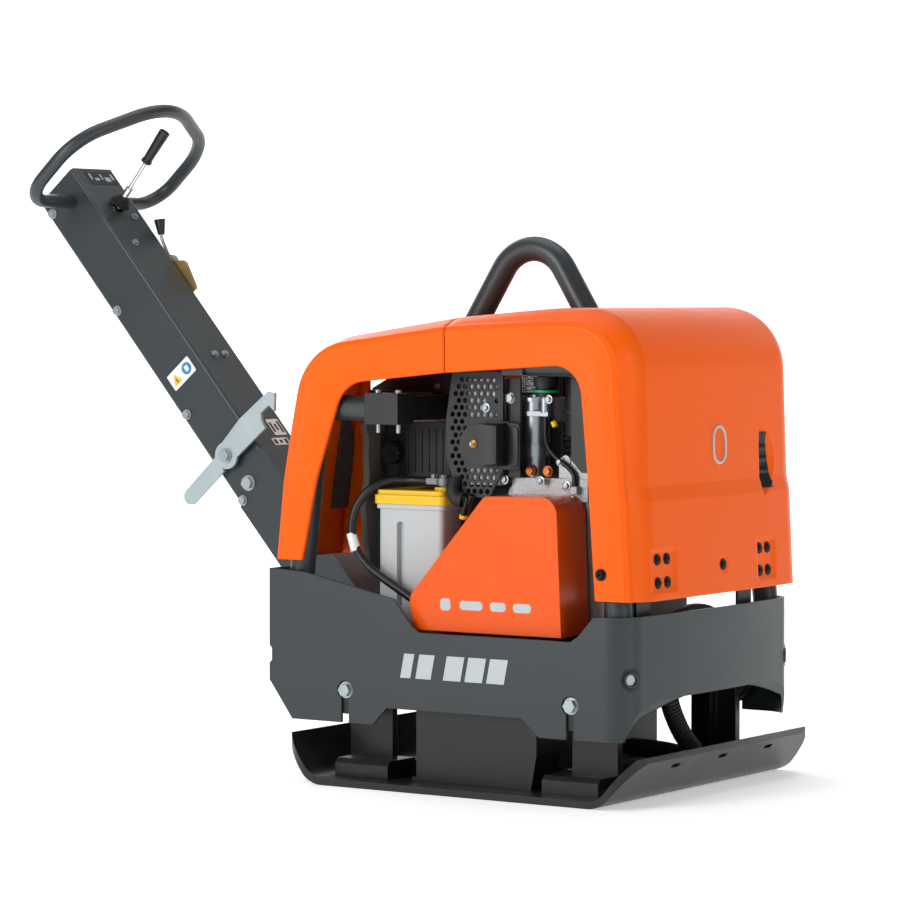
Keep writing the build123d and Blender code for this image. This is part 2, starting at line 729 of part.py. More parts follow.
def starter_motor():
    """Starter beside the crankcase, its terminal facing out."""
    body = rod_y(-16, 352, 32, -170, -40) + rod_y(-16, 352, 24, -40, -20)
    return body + block(10, 20, -120, -70, 330, 374)


COVER_LOW = 262.0


def belt_cover():
    """Folded cover over the belt and clutch, open at the back, below and at its low end."""
    sheet = 2.5
    slope = atan2(164, 143)
    outline = [(-104, COVER_LOW), (-113, 306), (-110, 320), (33, 484), (170, 487), (180, COVER_LOW)]
    outer = rounded_prism(outline, [1, 5, 8, 16, 30, 1], -252, -165)
    beyond = (-110 - 40 * cos(slope) + sheet * sin(slope), 320 - 40 * sin(slope) - sheet * cos(slope))
    hollow = [(-150, COVER_LOW - 20), beyond, (34.2, 484 - sheet), (170 - sheet, 487 - sheet)]
    hollow.append((181 - sheet, COVER_LOW - 20))
    inner = rounded_prism(hollow, [1, 1, 14, 28, 1], -252 + sheet, -160)
    return outer - inner - block(-150, -74, -209, -160, 200, 420)


def fuel_tank():
    """Moulded tank with a rounded body, ribs on the near face and a filler neck."""
    body = block(-268, -136, -98, 190, 497, 596)
    body = fillet(body.edges().filter_by(Axis.Y), 14)
    for x in range(-222, -144, 14):
        body += block(x - 2, x + 2, -100, -98, 512, 584)
    return group(body, tank_cap())


def tank_cap():
    """Round screw cap of the tank with grip lobes."""
    cap = rod_y(-246, 543, 17, -118, -98.5)
    for k in range(12):
        angle = 2 * pi * k / 12
        cap += rod_y(-246 + 17 * cos(angle), 543 + 17 * sin(angle), 2.2, -117, -102)
    return cap


# ---------------------------------------------------------------- battery
BATTERY = (-212.0, -84.0, -200.0, 38.0)


def battery_case():
    """Battery box with a slot-shaped recess in its near end and a lip under the lid."""
    x0, x1, y0, y1 = BATTERY
    case = fillet(block(x0, x1, y0, y1, BED_TOP, 455).edges().filter_by(Axis.Z), 9)
    case += fillet(block(x0 - 4, x1 + 4, y0 - 4, y1 + 4, 455, 463).edges().filter_by(Axis.Z), 10)
    case -= fillet(block(x0 + 38, x0 + 52, y0 - 1, y0 + 10, 290, 434).edges().filter_by(Axis.Y), 6)
    return case


def battery_lid():
    x0, x1, y0, y1 = BATTERY
    lid = fillet(block(x0 - 7, x1 + 7, y0 - 7, y1 + 7, 463, 478).edges().filter_by(Axis.Z), 12)
    lid += fillet(block(x0 - 3, x1 + 3, y0 - 3, y1 + 3, 478, 486).edges().filter_by(Axis.Z), 10)
    return lid + rod_z(-98, -172, 16, 486, 492) + rod_z(-98, 8, 16, 486, 492)


def battery_terminals():
    """Lead posts with their bolted clamps."""
    posts = []
    for y in (-172, 8):
        post = rod_z(-98, y, 8, 492, 512) + rod_z(-98, y, 13, 495, 507)
        post += block(-130, -98, y - 7, y + 7, 496, 506)
        post += hex_z(-118, y, 10, 506, 513)
        posts.append(post)
    return group(*posts)


def battery_cable():
    """Heavy lead in a sleeve from the battery clamp round to the starter."""
    route = [(-130, -172, 501), (-162, -172, 501), (-194, -188, 503), (-224, -210, 488)]
    route += [(-244, -222, 455), (-250, -225, 418), (-238, -225, 382), (-210, -225, 355)]
    route += [(-174, -225, 335), (-142, -225, 318), (-110, -225, 300), (-76, -225, 294)]
    route += [(-44, -223, 304), (-24, -216, 326), (-16, -200, 352), (-16, -170, 352)]
    return cord("battery_cable", route, 7)


def cable_bundle():
    """Control cables across the front of the bed, between two clips."""
    route = [(296, -150, BED_TOP + 9), (297, -118, 276), (296, -78, 296), (294, -34, 300)]
    route += [(296, 8, 296), (297, 46, 284), (296, 80, BED_TOP + 9)]
    return cord("cable_bundle", route, 9)


def foam_panel():
    """Sound-deadening mat in front of the drawbar's recess."""
    return block(-286, -272, -137, 137, 345, 600)


# ---------------------------------------------------------------- hood
def hood_wire(y, inset):
    """Hood outline in X and Z at one station across the machine.

    The side panels at HOOD_SIDE have the lower, tighter outline. Between there and
    HOOD_FLAT the surface swells in a parabola, and the front is bowed over its width.
    """
    reach = min(1.0, max(0.0, (HOOD_SIDE - abs(y)) / (HOOD_SIDE - HOOD_FLAT)))
    swell = 1 - (1 - reach) ** 2
    bow = HOOD_BOW * min(1.0, abs(y) / HOOD_FLAT) ** 2
    low = 290

    def between(side_point, middle_point):
        return side_point + (middle_point - side_point) * swell

    def front(side_x, middle_x):
        return between(side_x, middle_x - bow) - inset

    points = [
        (between(-377, -383) + inset, low),
        (between(-355, -361) + inset, 501),
        (between(-336, -342) + inset, 602),
        (between(-311, -318) + inset, between(717, 731) - inset),
        (HOOD_SPLIT_X, between(752, 773) - inset),
        (150, between(759, 788) - inset),
        (front(279, 318), between(760, 789) - inset),
        (front(297, 326), 506),
        (front(300, 332), 484),
        (front(311, 341), low),
    ]
    radii = [1, 300, 120, between(100, 114) - inset, 700, 700, between(72, 104) - inset, 20, 20, 1]
    path = FilletPolyline(*[(x, y, z) for x, z in points], radius=radii, close=True)
    return make_face(path)


def hood_solid(inset):
    """Closed body of the whole hood, lofted across the machine."""
    side = HOOD_SIDE - inset
    stations = [-side, -263, -255, -246, -236, -226, -HOOD_FLAT, -143, -71, 0]
    stations += [-y for y in reversed(stations[:-1])]
    return loft([hood_wire(y, inset) for y in stations], ruled=True)


def side_openings():
    """Service opening through both side panels."""
    points = [(-334, 280), (-320, 368), (-291, 503), (-236, 663), (-33, 683), (221, 699)]
    points += [(239, 505), (254, 280)]
    return rounded_prism(points, [1, 200, 200, 60, 700, 50, 300, 1], -300, 300) - block(
        -400, 400, -HOOD_SIDE + 12, HOOD_SIDE - 12, 250, 800
    )


def hood_shell():
    """Hollow hood, open below and at both sides, with the slot for the lifting eye."""
    shell = hood_solid(0) - hood_solid(HOOD_THICK)
    shell -= side_openings()
    half = (FRONT_BEAM_X - REAR_BEAM_X) / 2 + FRAME_R + 8
    centre = (FRONT_BEAM_X + REAR_BEAM_X) / 2
    slot = Pos(centre, 0, 690) * extrude(SlotOverall(2 * half, 56), amount=120)
    return shell - slot


def hood_front(shell):
    """Tilting front half with scooped grip recess cut through its front face."""
    half = shell & block(HOOD_SPLIT_X + HOOD_GAP / 2, 400, -300, 300, HOOD_FRONT_Z, 900)
    recess = Pos(320, 157, 538) * Rot(0, 90, 0) * extrude(SlotOverall(118, 26), amount=30, both=True)
    return half - recess


def hood_rear(shell):
    """Bolted rear half with the gap that the drawbar folds into and its two flanges."""
    half = shell & block(-450, HOOD_SPLIT_X - HOOD_GAP / 2, -300, 300, HOOD_REAR_Z, 900)
    half -= block(-450, -280, -78, 78, 300, 700)
    outline = [(-371, HOOD_REAR_Z), (-355, 501), (-336, 602), (-322, 676), (-314, 676)]
    outline.append((-314, HOOD_REAR_Z))
    flange = side_prism(outline, 78, 81.5)
    return half + flange + mirrored(flange)


def hood_grip():
    """Ribbed black insert behind the grip recess."""
    insert = block(300, 309, 146, 170, 484, 592)
    for k in range(6):
        z = 494 + 17.5 * k
        insert += block(309, 314, 149, 167, z, z + 4)
    return insert


def hinge_leaves():
    """Moving hinge leaves inside the hood's front, one behind each screw group."""
    leaves = []
    for y in HINGE_Y:
        knuckle = rod_y(HINGE_X, HINGE_Z, 7, y - 12, y + 12)
        knuckle -= rod_y(HINGE_X, HINGE_Z, 4 + RUNNING, y - 20, y + 20)
        leaf = block(324, 328, y - 26, y + 26, 342, 410)
        web = block(312, 326, y - 12, y + 12, 342, 348)
        leaves.append(knuckle + (leaf + web - rod_y(HINGE_X, HINGE_Z, 6.5, y - 20, y + 20)))
    return group(*leaves)


def hinge_brackets():
    """Fixed hinge halves on the bed, each with two knuckles and the pin through them."""
    items = []
    for y in HINGE_Y:
        post = block(292, 297, y - 22, y + 22, BED_TOP, 340)
        pin = rod_y(HINGE_X, HINGE_Z, 4, y - 22, y + 22)
        ears = block(292, 314, y - 22, y - 13, 326, 350) + block(292, 314, y + 13, y + 22, 326, 350)
        items.append(post + ears + pin)
    return group(*items)


def hood_screws():
    """Dished washers and socket screws on the front, sides and middle of the hood."""
    places = [(y + dy, z) for y in HINGE_Y for dy in (-14, 14) for z in (354, 391)]
    places.append((-7, 372))
    items = []
    for y, z in places:
        face = front_face_x(y, z)
        washer = rod_x(y, z, 9.5, face + 0.9, face + 3.4) - rod_x(y, z, 5.5, face + 2.0, face + 4)
        items.append(washer)
    for side in (-1, 1):
        y0, y1 = sorted((side * (HOOD_SIDE + 0.1), side * (HOOD_SIDE + 3)))
        items.append(rod_y(265, 368, 9.5, y0, y1))
    return group(*items)


def front_face_x(y, z):
    """Outer front face of the hood below its step, between the flat stations."""
    return 332 + 9 * (484 - z) / 194 - HOOD_BOW * (y / HOOD_FLAT) ** 2


# ---------------------------------------------------------------- drawbar
def drawbar_frame():
    """Local frame of the drawbar: X along the bar, Y to the near side, Z out of its upper face."""
    lean = radians(DRAWBAR_ANGLE)
    return Plane(origin=PIVOT, x_dir=(-cos(lean), 0, sin(lean)), z_dir=(sin(lean), 0, cos(lean)))


BAR = drawbar_frame()

EDGE_BOLTS = [(t, -38, 8) for t in (581, 822, 1052)]
FOOT_BOLTS = [(386, -37, 8), (401, -7, 12)]
TOP_BOLTS = [(971, -30), (908, 20), (647, 8), (647, -22)]
TOP_BOLT_SIZE = 6


def side_holes(places):
    """Clearance holes through both side walls for the bolts at these places."""
    holes = []
    for t, n, size in places:
        for side in (-60, 60):
            holes.append(rod_y(t, n, size / 2 + RUNNING, side - 8, side + 8))
    return group(*holes)


def drawbar():
    """Hollow box-section bar, closed at the top, with holes for the loop."""
    bar = block(BAR_START, BAR_END, -BAR_HALF_W, BAR_HALF_W, -BAR_HALF_D, BAR_HALF_D)
    bar = fillet(bar.edges().filter_by(Axis.X), 6)
    inner_w = BAR_HALF_W - 4
    inner_d = BAR_HALF_D - 4
    bar -= block(BAR_START - 1, BAR_END - 4, -inner_w, inner_w, -inner_d, inner_d)
    bar -= rod_y(LOOP_T, LOOP_N, LOOP_R + RUNNING, -80, 80)
    bar -= block(962, 963.2, -60, 60, BAR_HALF_D - 0.8, BAR_HALF_D + 1)
    bar -= rod_z(STICK_T, 0, 12, BAR_HALF_D - 6, BAR_HALF_D + 1)
    bar -= side_holes(EDGE_BOLTS)
    for t, y in TOP_BOLTS:
        bar -= rod_z(t, y, TOP_BOLT_SIZE / 2 + RUNNING, BAR_HALF_D - 6, BAR_HALF_D + 1)
    return BAR * bar


def drawbar_foot():
    """Channel round the lower end of the bar, with the pivot tube across it."""
    profile = [(0, -46), (380, -BAR_HALF_D), (432, -8), (432, 54.5), (0, 54.5)]
    body = side_prism(profile, -62.5, 62.5) + rod_y(0, 4.25, 50.25, -62.5, 62.5)
    body -= block(-70, 500, -58, 58, -70, 49.4)
    body += rod_y(0, 0, 22, -58.5, 58.5)
    body -= rod_y(0, 0, PIVOT_PIN_R + RUNNING, -80, 80)
    body -= side_holes(FOOT_BOLTS)
    return BAR * body


def loop_points():
    """Corners of the house-shaped loop, as distances across and up its own plane."""
    half = 186
    eave = 156
    return [(20, 0), (half, 0), (half, eave), (0, 260), (-half, eave), (-half, 0), (-20, 0)]


def handlebar():
    """Loop handle of bent tube, nearly square to the bar; both ends sit inside the bar."""
    lean = radians(LOOP_TILT)
    route = [
        (LOOP_T + up * sin(lean), across, LOOP_N + up * cos(lean)) for across, up in loop_points()
    ]
    return BAR * tube_along(route, [56, 97, 154, 97, 56], LOOP_R)


def drawbar_bolts():
    """Cover bolts along both lower edges, big foot bolts, and small ones on the upper face."""
    items = []
    for side in (-1, 1):
        for t, n, size in EDGE_BOLTS:
            items.append(bolt_y(t, n, size, side * BAR_HALF_W, side, 3.5))
        for t, n, size in FOOT_BOLTS:
            items.append(bolt_y(t, n, size, side * 62.5, side, 3.5))
    for t, y in TOP_BOLTS:
        items.append(bolt_z(t, y, TOP_BOLT_SIZE, BAR_HALF_D, 3.5))
    return BAR * group(*items)


def throttle_bracket():
    """Zinc-plated plate on the far side that carries the throttle lever."""
    outline = [(795, 20), (795, 54), (800, 58), (846, 69), (853, 66), (868, 48), (888, 48), (888, 20)]
    plate = side_prism(outline, -61.5, -BAR_HALF_W)
    plate += block(800, 868, -80, -BAR_HALF_W, 20, 24)
    plate += rod_y(THROTTLE_T, THROTTLE_N, 5, -76, -58)
    return BAR * plate


KNOB_BASE = (925.5, -67.0, 52.7)
KNOB_TOP = (949.6, -67.0, 67.5)


def throttle_lever():
    """Round lever on the bracket stud, cranked into the knob."""
    hub = rod_y(THROTTLE_T, THROTTLE_N, 13, -72, -62)
    along = (Vector(*KNOB_TOP) - Vector(*KNOB_BASE)).normalized()
    elbow = Vector(*KNOB_BASE) - along * 9
    arm = rod_between(Vector(THROTTLE_T, -67, THROTTLE_N), elbow, 3.2)
    arm += Pos(elbow.X, elbow.Y, elbow.Z) * Sphere(3.2)
    arm += rod_between(elbow, elbow + along * 26, 3.2)
    return BAR * (hub + arm - rod_y(THROTTLE_T, THROTTLE_N, 5 + RUNNING, -80, -50))


def throttle_knob():
    """Black knob that widens upwards on the lever's end."""
    axis = Plane(origin=KNOB_BASE, z_dir=Vector(*KNOB_TOP) - Vector(*KNOB_BASE))
    low = Align.MIN
    knob = axis * Cone(6.2, 10.6, 28, align=(Align.CENTER, Align.CENTER, low))
    bore = axis * Pos(0, 0, -1) * Cylinder(3.2 + RUNNING, 19, align=(Align.CENTER, Align.CENTER, low))
    return BAR * (knob - bore)


STICK_LEAN = 10.5


def stick_plane():
    """Frame at the joystick's pivot with Z along the stick."""
    lean = radians(STICK_LEAN)
    across = (cos(lean), 0, -sin(lean))
    along = (sin(lean), 0, cos(lean))
    return BAR * Plane(origin=(STICK_T, 0, BAR_HALF_D), x_dir=across, z_dir=along)


def joystick_rod():
    """Steel rod on a cross pin in the bar's upper face, with a collar above the bellows."""
    rod = rod_z(0, 0, 4, -22, 108) + rod_z(0, 0, 7, 24, 44) + rod_y(0, 0, 5, -7, 7)
    return stick_plane() * rod


def joystick_grip():
    """Slim grip that widens upwards, with a recessed flat top."""
    grip = Pos(0, 0, 137) * Cone(8.5, 10.5, 68) + rod_z(0, 0, 10.2, 103, 108)
    grip -= rod_z(0, 0, 8, 169.5, 172)
    return stick_plane() * (grip - rod_z(0, 0, 4 + RUNNING, 90, 109))


def joystick_boot():
    """Bellows with five pleats that narrow upwards, hollowed below so that it can tilt."""
    boot = rod_z(0, 0, 21, 4.5, 7)
    for k in range(5):
        z = 9 + 3.4 * k
        boot += rod_z(0, 0, 20 - 2.1 * k, z - 1.1, z + 1.1) + rod_z(0, 0, 15 - 1.6 * k, z - 2, z + 3)
    cup = Pos(0, 0, 0.4) * Cone(0.02, 26.3, 10, align=(Align.CENTER, Align.CENTER, Align.MIN))
    boot -= rod_z(0, 0, 24, -6, 10.4) - cup
    return stick_plane() * (boot - rod_z(0, 0, 7.3, -2, 40))


def latch():
    """Flat zinc-plated transport hook with a rounded grip end, a boss and a hooked nose."""
    y0, y1 = 66.5, 72.5
    boss = rod_y(LATCH_T, LATCH_N, 24, y0, y1)
    grip = side_prism([(478, -30), (474, -118), (445, -116), (447, -30)], y0, y1)
    grip += rod_y(459.5, -117, 14.6, y0, y1)
    arm = side_prism(
        [(448, 8), (447, 88), (461, 90), (473, 98), (473, 120)]
        + [(457, 123), (480, 144), (492, 134), (495, 57), (488, 0)],
        y0,
        y1,
    )
    return BAR * (boss + grip + arm - rod_y(LATCH_T, LATCH_N, 6 + RUNNING, 50, 80))


def latch_bolt():
    """Shoulder bolt of the latch with its spacer against the foot-side of the bar."""
    spacer = rod_y(LATCH_T, LATCH_N, 14, BAR_HALF_W, 66.2)
    shank = rod_y(LATCH_T, LATCH_N, 6, 60, 73)
    head = rod_y(LATCH_T, LATCH_N, 13, 72.8, 75) + hex_y(LATCH_T, LATCH_N, 19, 75, 82)
    return BAR * (spacer + shank + head)


# ---------------------------------------------------------------- output
def main():
    os.makedirs("parts", exist_ok=True)
    save("base_plate", sole_plate())
    save("mount_posts", mount_posts())
    save("rubber_buffers", rubber_buffers())
    save("exciter_housing", exciter_housing())
    save("exciter_covers", exciter_covers())
    save("exciter_bearings", exciter_bearings())
    save("exciter_shaft_rear", exciter_shaft(SHAFT_X[0], -219, 0))
    save("exciter_shaft_front", exciter_shaft(SHAFT_X[1], HOUSING_Y[0] + 2, pi / GEAR_TEETH))
    save("exciter_pulley", exciter_pulley())
    save("pulley_guard", pulley_guard())
    save("drive_belt", drive_belt())
    save("corrugated_hose", corrugated_hose())
    save("base_bolts", base_bolts())
    save("guard", group(guard(), *guard_ports()))
    save("chassis_bed", chassis_bed())
    save("buffer_discs", outer_discs())
    save("chassis_bolts", chassis_bolts())
    save("frame_tubes", frame_tubes())
    save("frame_beams", frame_beams())
    save("lifting_eye", lifting_eye())
    save("pivot_pin", pivot_pin())
    save("hinge_brackets", hinge_brackets())
    save("crankcase", crankcase())
    save("crankshaft", crankshaft())
    save("clutch_pulley", clutch_pulley())
    save("cylinder_barrel", cylinder_barrel())
    save("cylinder_head", cylinder_head())
    save("fan_shroud", fan_shroud())
    save("muffler", muffler())
    save("muffler_guard", group(muffler_guard(), engine_bracket()))
    save("exhaust_deflector", exhaust_deflector())
    save("air_filter", air_filter())
    save("injection_pump", injection_pump())
    save("fuel_hose", fuel_hose())
    save("banjo_bolts", banjo_bolts())
    save("starter_motor", starter_motor())
    save("belt_cover", belt_cover())
    save("fuel_tank", fuel_tank())
    save("battery_case", battery_case())
    save("battery_lid", battery_lid())
    save("battery_terminals", battery_terminals())
    save("battery_cable", battery_cable())
    save("cable_bundle", cable_bundle())
    save("foam_panel", foam_panel())
    shell = hood_shell()
    save("hood_front", hood_front(shell))
    save("hood_rear", hood_rear(shell))
    save("hood_screws", hood_screws())
    save("hood_grip", hood_grip())
    save("hinge_leaves", hinge_leaves())
    save("drawbar", drawbar())
    save("drawbar_foot", drawbar_foot())
    save("handlebar", handlebar())
    save("drawbar_bolts", group(drawbar_bolts(), latch_bolt()))
    save("throttle_bracket", throttle_bracket())
    save("throttle_lever", throttle_lever())
    save("throttle_knob", throttle_knob())
    save("joystick_rod", joystick_rod())
    save("joystick_grip", joystick_grip())
    save("joystick_boot", joystick_boot())
    save("transport_latch", latch())


main()
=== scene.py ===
import json
import math
import random

import bmesh
import bpy
import numpy as np
from mathutils import Matrix, Vector


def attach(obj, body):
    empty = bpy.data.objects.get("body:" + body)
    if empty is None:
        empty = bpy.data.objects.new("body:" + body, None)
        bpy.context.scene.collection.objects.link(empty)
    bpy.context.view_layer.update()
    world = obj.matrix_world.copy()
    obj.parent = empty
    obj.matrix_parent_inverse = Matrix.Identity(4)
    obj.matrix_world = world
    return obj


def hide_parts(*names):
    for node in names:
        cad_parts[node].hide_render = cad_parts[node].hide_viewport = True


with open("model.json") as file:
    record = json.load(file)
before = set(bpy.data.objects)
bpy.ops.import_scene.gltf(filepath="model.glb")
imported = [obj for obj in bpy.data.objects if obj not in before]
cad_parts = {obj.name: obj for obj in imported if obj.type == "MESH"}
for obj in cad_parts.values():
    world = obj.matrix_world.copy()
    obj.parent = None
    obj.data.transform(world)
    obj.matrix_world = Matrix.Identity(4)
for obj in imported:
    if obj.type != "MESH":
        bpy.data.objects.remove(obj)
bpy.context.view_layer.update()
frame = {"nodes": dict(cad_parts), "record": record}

random.seed(7)
NODES = frame["nodes"]

# Lengths are in millimetres unless a name or a comment says otherwise; MM turns them into metres.
MM = 0.001

# The drawbar: its pivot in metres, its lean, and its outer faces from its centre line.
PIVOT = Vector((-0.318, 0.0, 0.180))
LEAN = math.radians(49.5)
BAR_TOP, BAR_SIDE = 49.0, 57.5

# The guard's side and front faces, the rounding of its corners, and the belt cover's near face.
GUARD_SIDE, GUARD_FRONT, GUARD_CORNER_R = 273, 317, 50
COVER_SIDE = 252

# The hood: half width, half width of its flat part, bow of its front, wall.
HOOD_SIDE, HOOD_FLAT, HOOD_BOW, HOOD_WALL = 270.0, 214.0, 3.0, 3.5
# X of its two halves' edges at the parting line, and Z where each half ends and where its grid changes.
SPLIT_REAR, SPLIT_FRONT = -34, -32
REAR_LOW, REAR_TURN = 368, 700
FRONT_LOW, FRONT_TURN = 326, 640
# The lifting eye's slot, straight from one X to the other between round ends, and the drawbar's channel.
SLOT_REAR, SLOT_FRONT, SLOT_R = -157, 91, 28.0
CHANNEL_HALF = 78
# The grip pocket, and the single screw between the two groups of four.
POCKET_Y, POCKET_Z, POCKET_HALF, POCKET_DEPTH = 138, 537, 60.0, 16.0
LONE_SCREW = (-7, 372)


# ---------------------------------------------------------------- materials
DUST = (0.30, 0.27, 0.23, 1.0)


def linear(code):
    """Colour code in sRGB as a linear RGBA colour."""
    values = [int(code[i:i + 2], 16) / 255 for i in (1, 3, 5)]
    return tuple([v / 12.92 if v <= 0.04045 else ((v + 0.055) / 1.055) ** 2.4 for v in values] + [1.0])


def shade(color, factor):
    return tuple([min(1.0, c * factor) for c in color[:3]] + [1.0])


def surface(name, code, rough=0.45, metal=0.0, coat=0.0, mottle=0.06, mottle_scale=9.0, grain=0.05,
            grain_scale=900.0, rounding=0.0009, dust=0.0, scuff=0.0, sheen=0.0, spec=0.5):
    """Procedural finish: slow colour and gloss drift, fine grain, rounded edges, dust on what faces up."""
    mat = bpy.data.materials.new(name)
    mat.use_nodes = True
    nodes, links = mat.node_tree.nodes, mat.node_tree.links
    bsdf = nodes["Principled BSDF"]
    base = linear(code)
    mat.diffuse_color = base
    place = nodes.new("ShaderNodeTexCoord")

    def noise(scale, detail, roughness=0.5):
        made = nodes.new("ShaderNodeTexNoise")
        made.inputs["Scale"].default_value = scale
        made.inputs["Detail"].default_value = detail
        made.inputs["Roughness"].default_value = roughness
        links.new(place.outputs["Object"], made.inputs["Vector"])
        return made.outputs["Fac"]

    def remap(value, from_min, from_max, to_min=0.0, to_max=1.0):
        made = nodes.new("ShaderNodeMapRange")
        made.inputs["From Min"].default_value = from_min
        made.inputs["From Max"].default_value = from_max
        made.inputs["To Min"].default_value = to_min
        made.inputs["To Max"].default_value = to_max
        links.new(value, made.inputs["Value"])
        return made.outputs["Result"]

    def times(first, second):
        made = nodes.new("ShaderNodeMath")
        made.operation = "MULTIPLY"
        links.new(first, made.inputs[0])
        if isinstance(second, float):
            made.inputs[1].default_value = second
        else:
            links.new(second, made.inputs[1])
        return made.outputs["Value"]

    def blend(factor, first, second):
        """Mix of two colours; the first may be a colour or another node's output."""
        made = nodes.new("ShaderNodeMix")
        made.data_type = "RGBA"
        if isinstance(first, tuple):
            made.inputs["A"].default_value = first
        else:
            links.new(first, made.inputs["A"])
        made.inputs["B"].default_value = second
        links.new(factor, made.inputs["Factor"])
        return made.outputs["Result"]

    drift = noise(mottle_scale, 5.0, 0.6)
    color = blend(drift, shade(base, 1 - mottle), shade(base, 1 + mottle))
    roughness = remap(drift, 0.3, 0.7, max(0.02, rough * 0.88), min(1.0, rough * 1.12))
    if scuff > 0:
        worn = remap(noise(60.0, 8.0, 0.75), 0.60, 0.74, to_max=scuff)
        color = blend(worn, color, shade(base, 1.9))
    if dust > 0:
        split = nodes.new("ShaderNodeSeparateXYZ")
        links.new(nodes.new("ShaderNodeNewGeometry").outputs["Normal"], split.inputs["Vector"])
        upward = remap(split.outputs["Z"], 0.35, 1.0)
        color = blend(times(times(upward, noise(38.0, 7.0)), dust), color, DUST)

    links.new(color, bsdf.inputs["Base Color"])
    links.new(roughness, bsdf.inputs["Roughness"])
    bsdf.inputs["Metallic"].default_value = metal
    bsdf.inputs["Coat Weight"].default_value = coat
    bsdf.inputs["Coat Roughness"].default_value = 0.12
    bsdf.inputs["Specular IOR Level"].default_value = spec
    bsdf.inputs["Sheen Weight"].default_value = sheen

    bump = nodes.new("ShaderNodeBump")
    bump.inputs["Strength"].default_value = grain
    bump.inputs["Distance"].default_value = 0.0006
    links.new(noise(grain_scale, 3.0), bump.inputs["Height"])
    if rounding > 0:
        edge = nodes.new("ShaderNodeBevel")
        edge.samples = 4
        edge.inputs["Radius"].default_value = rounding
        links.new(edge.outputs["Normal"], bump.inputs["Normal"])
    links.new(bump.outputs["Normal"], bsdf.inputs["Normal"])
    return mat


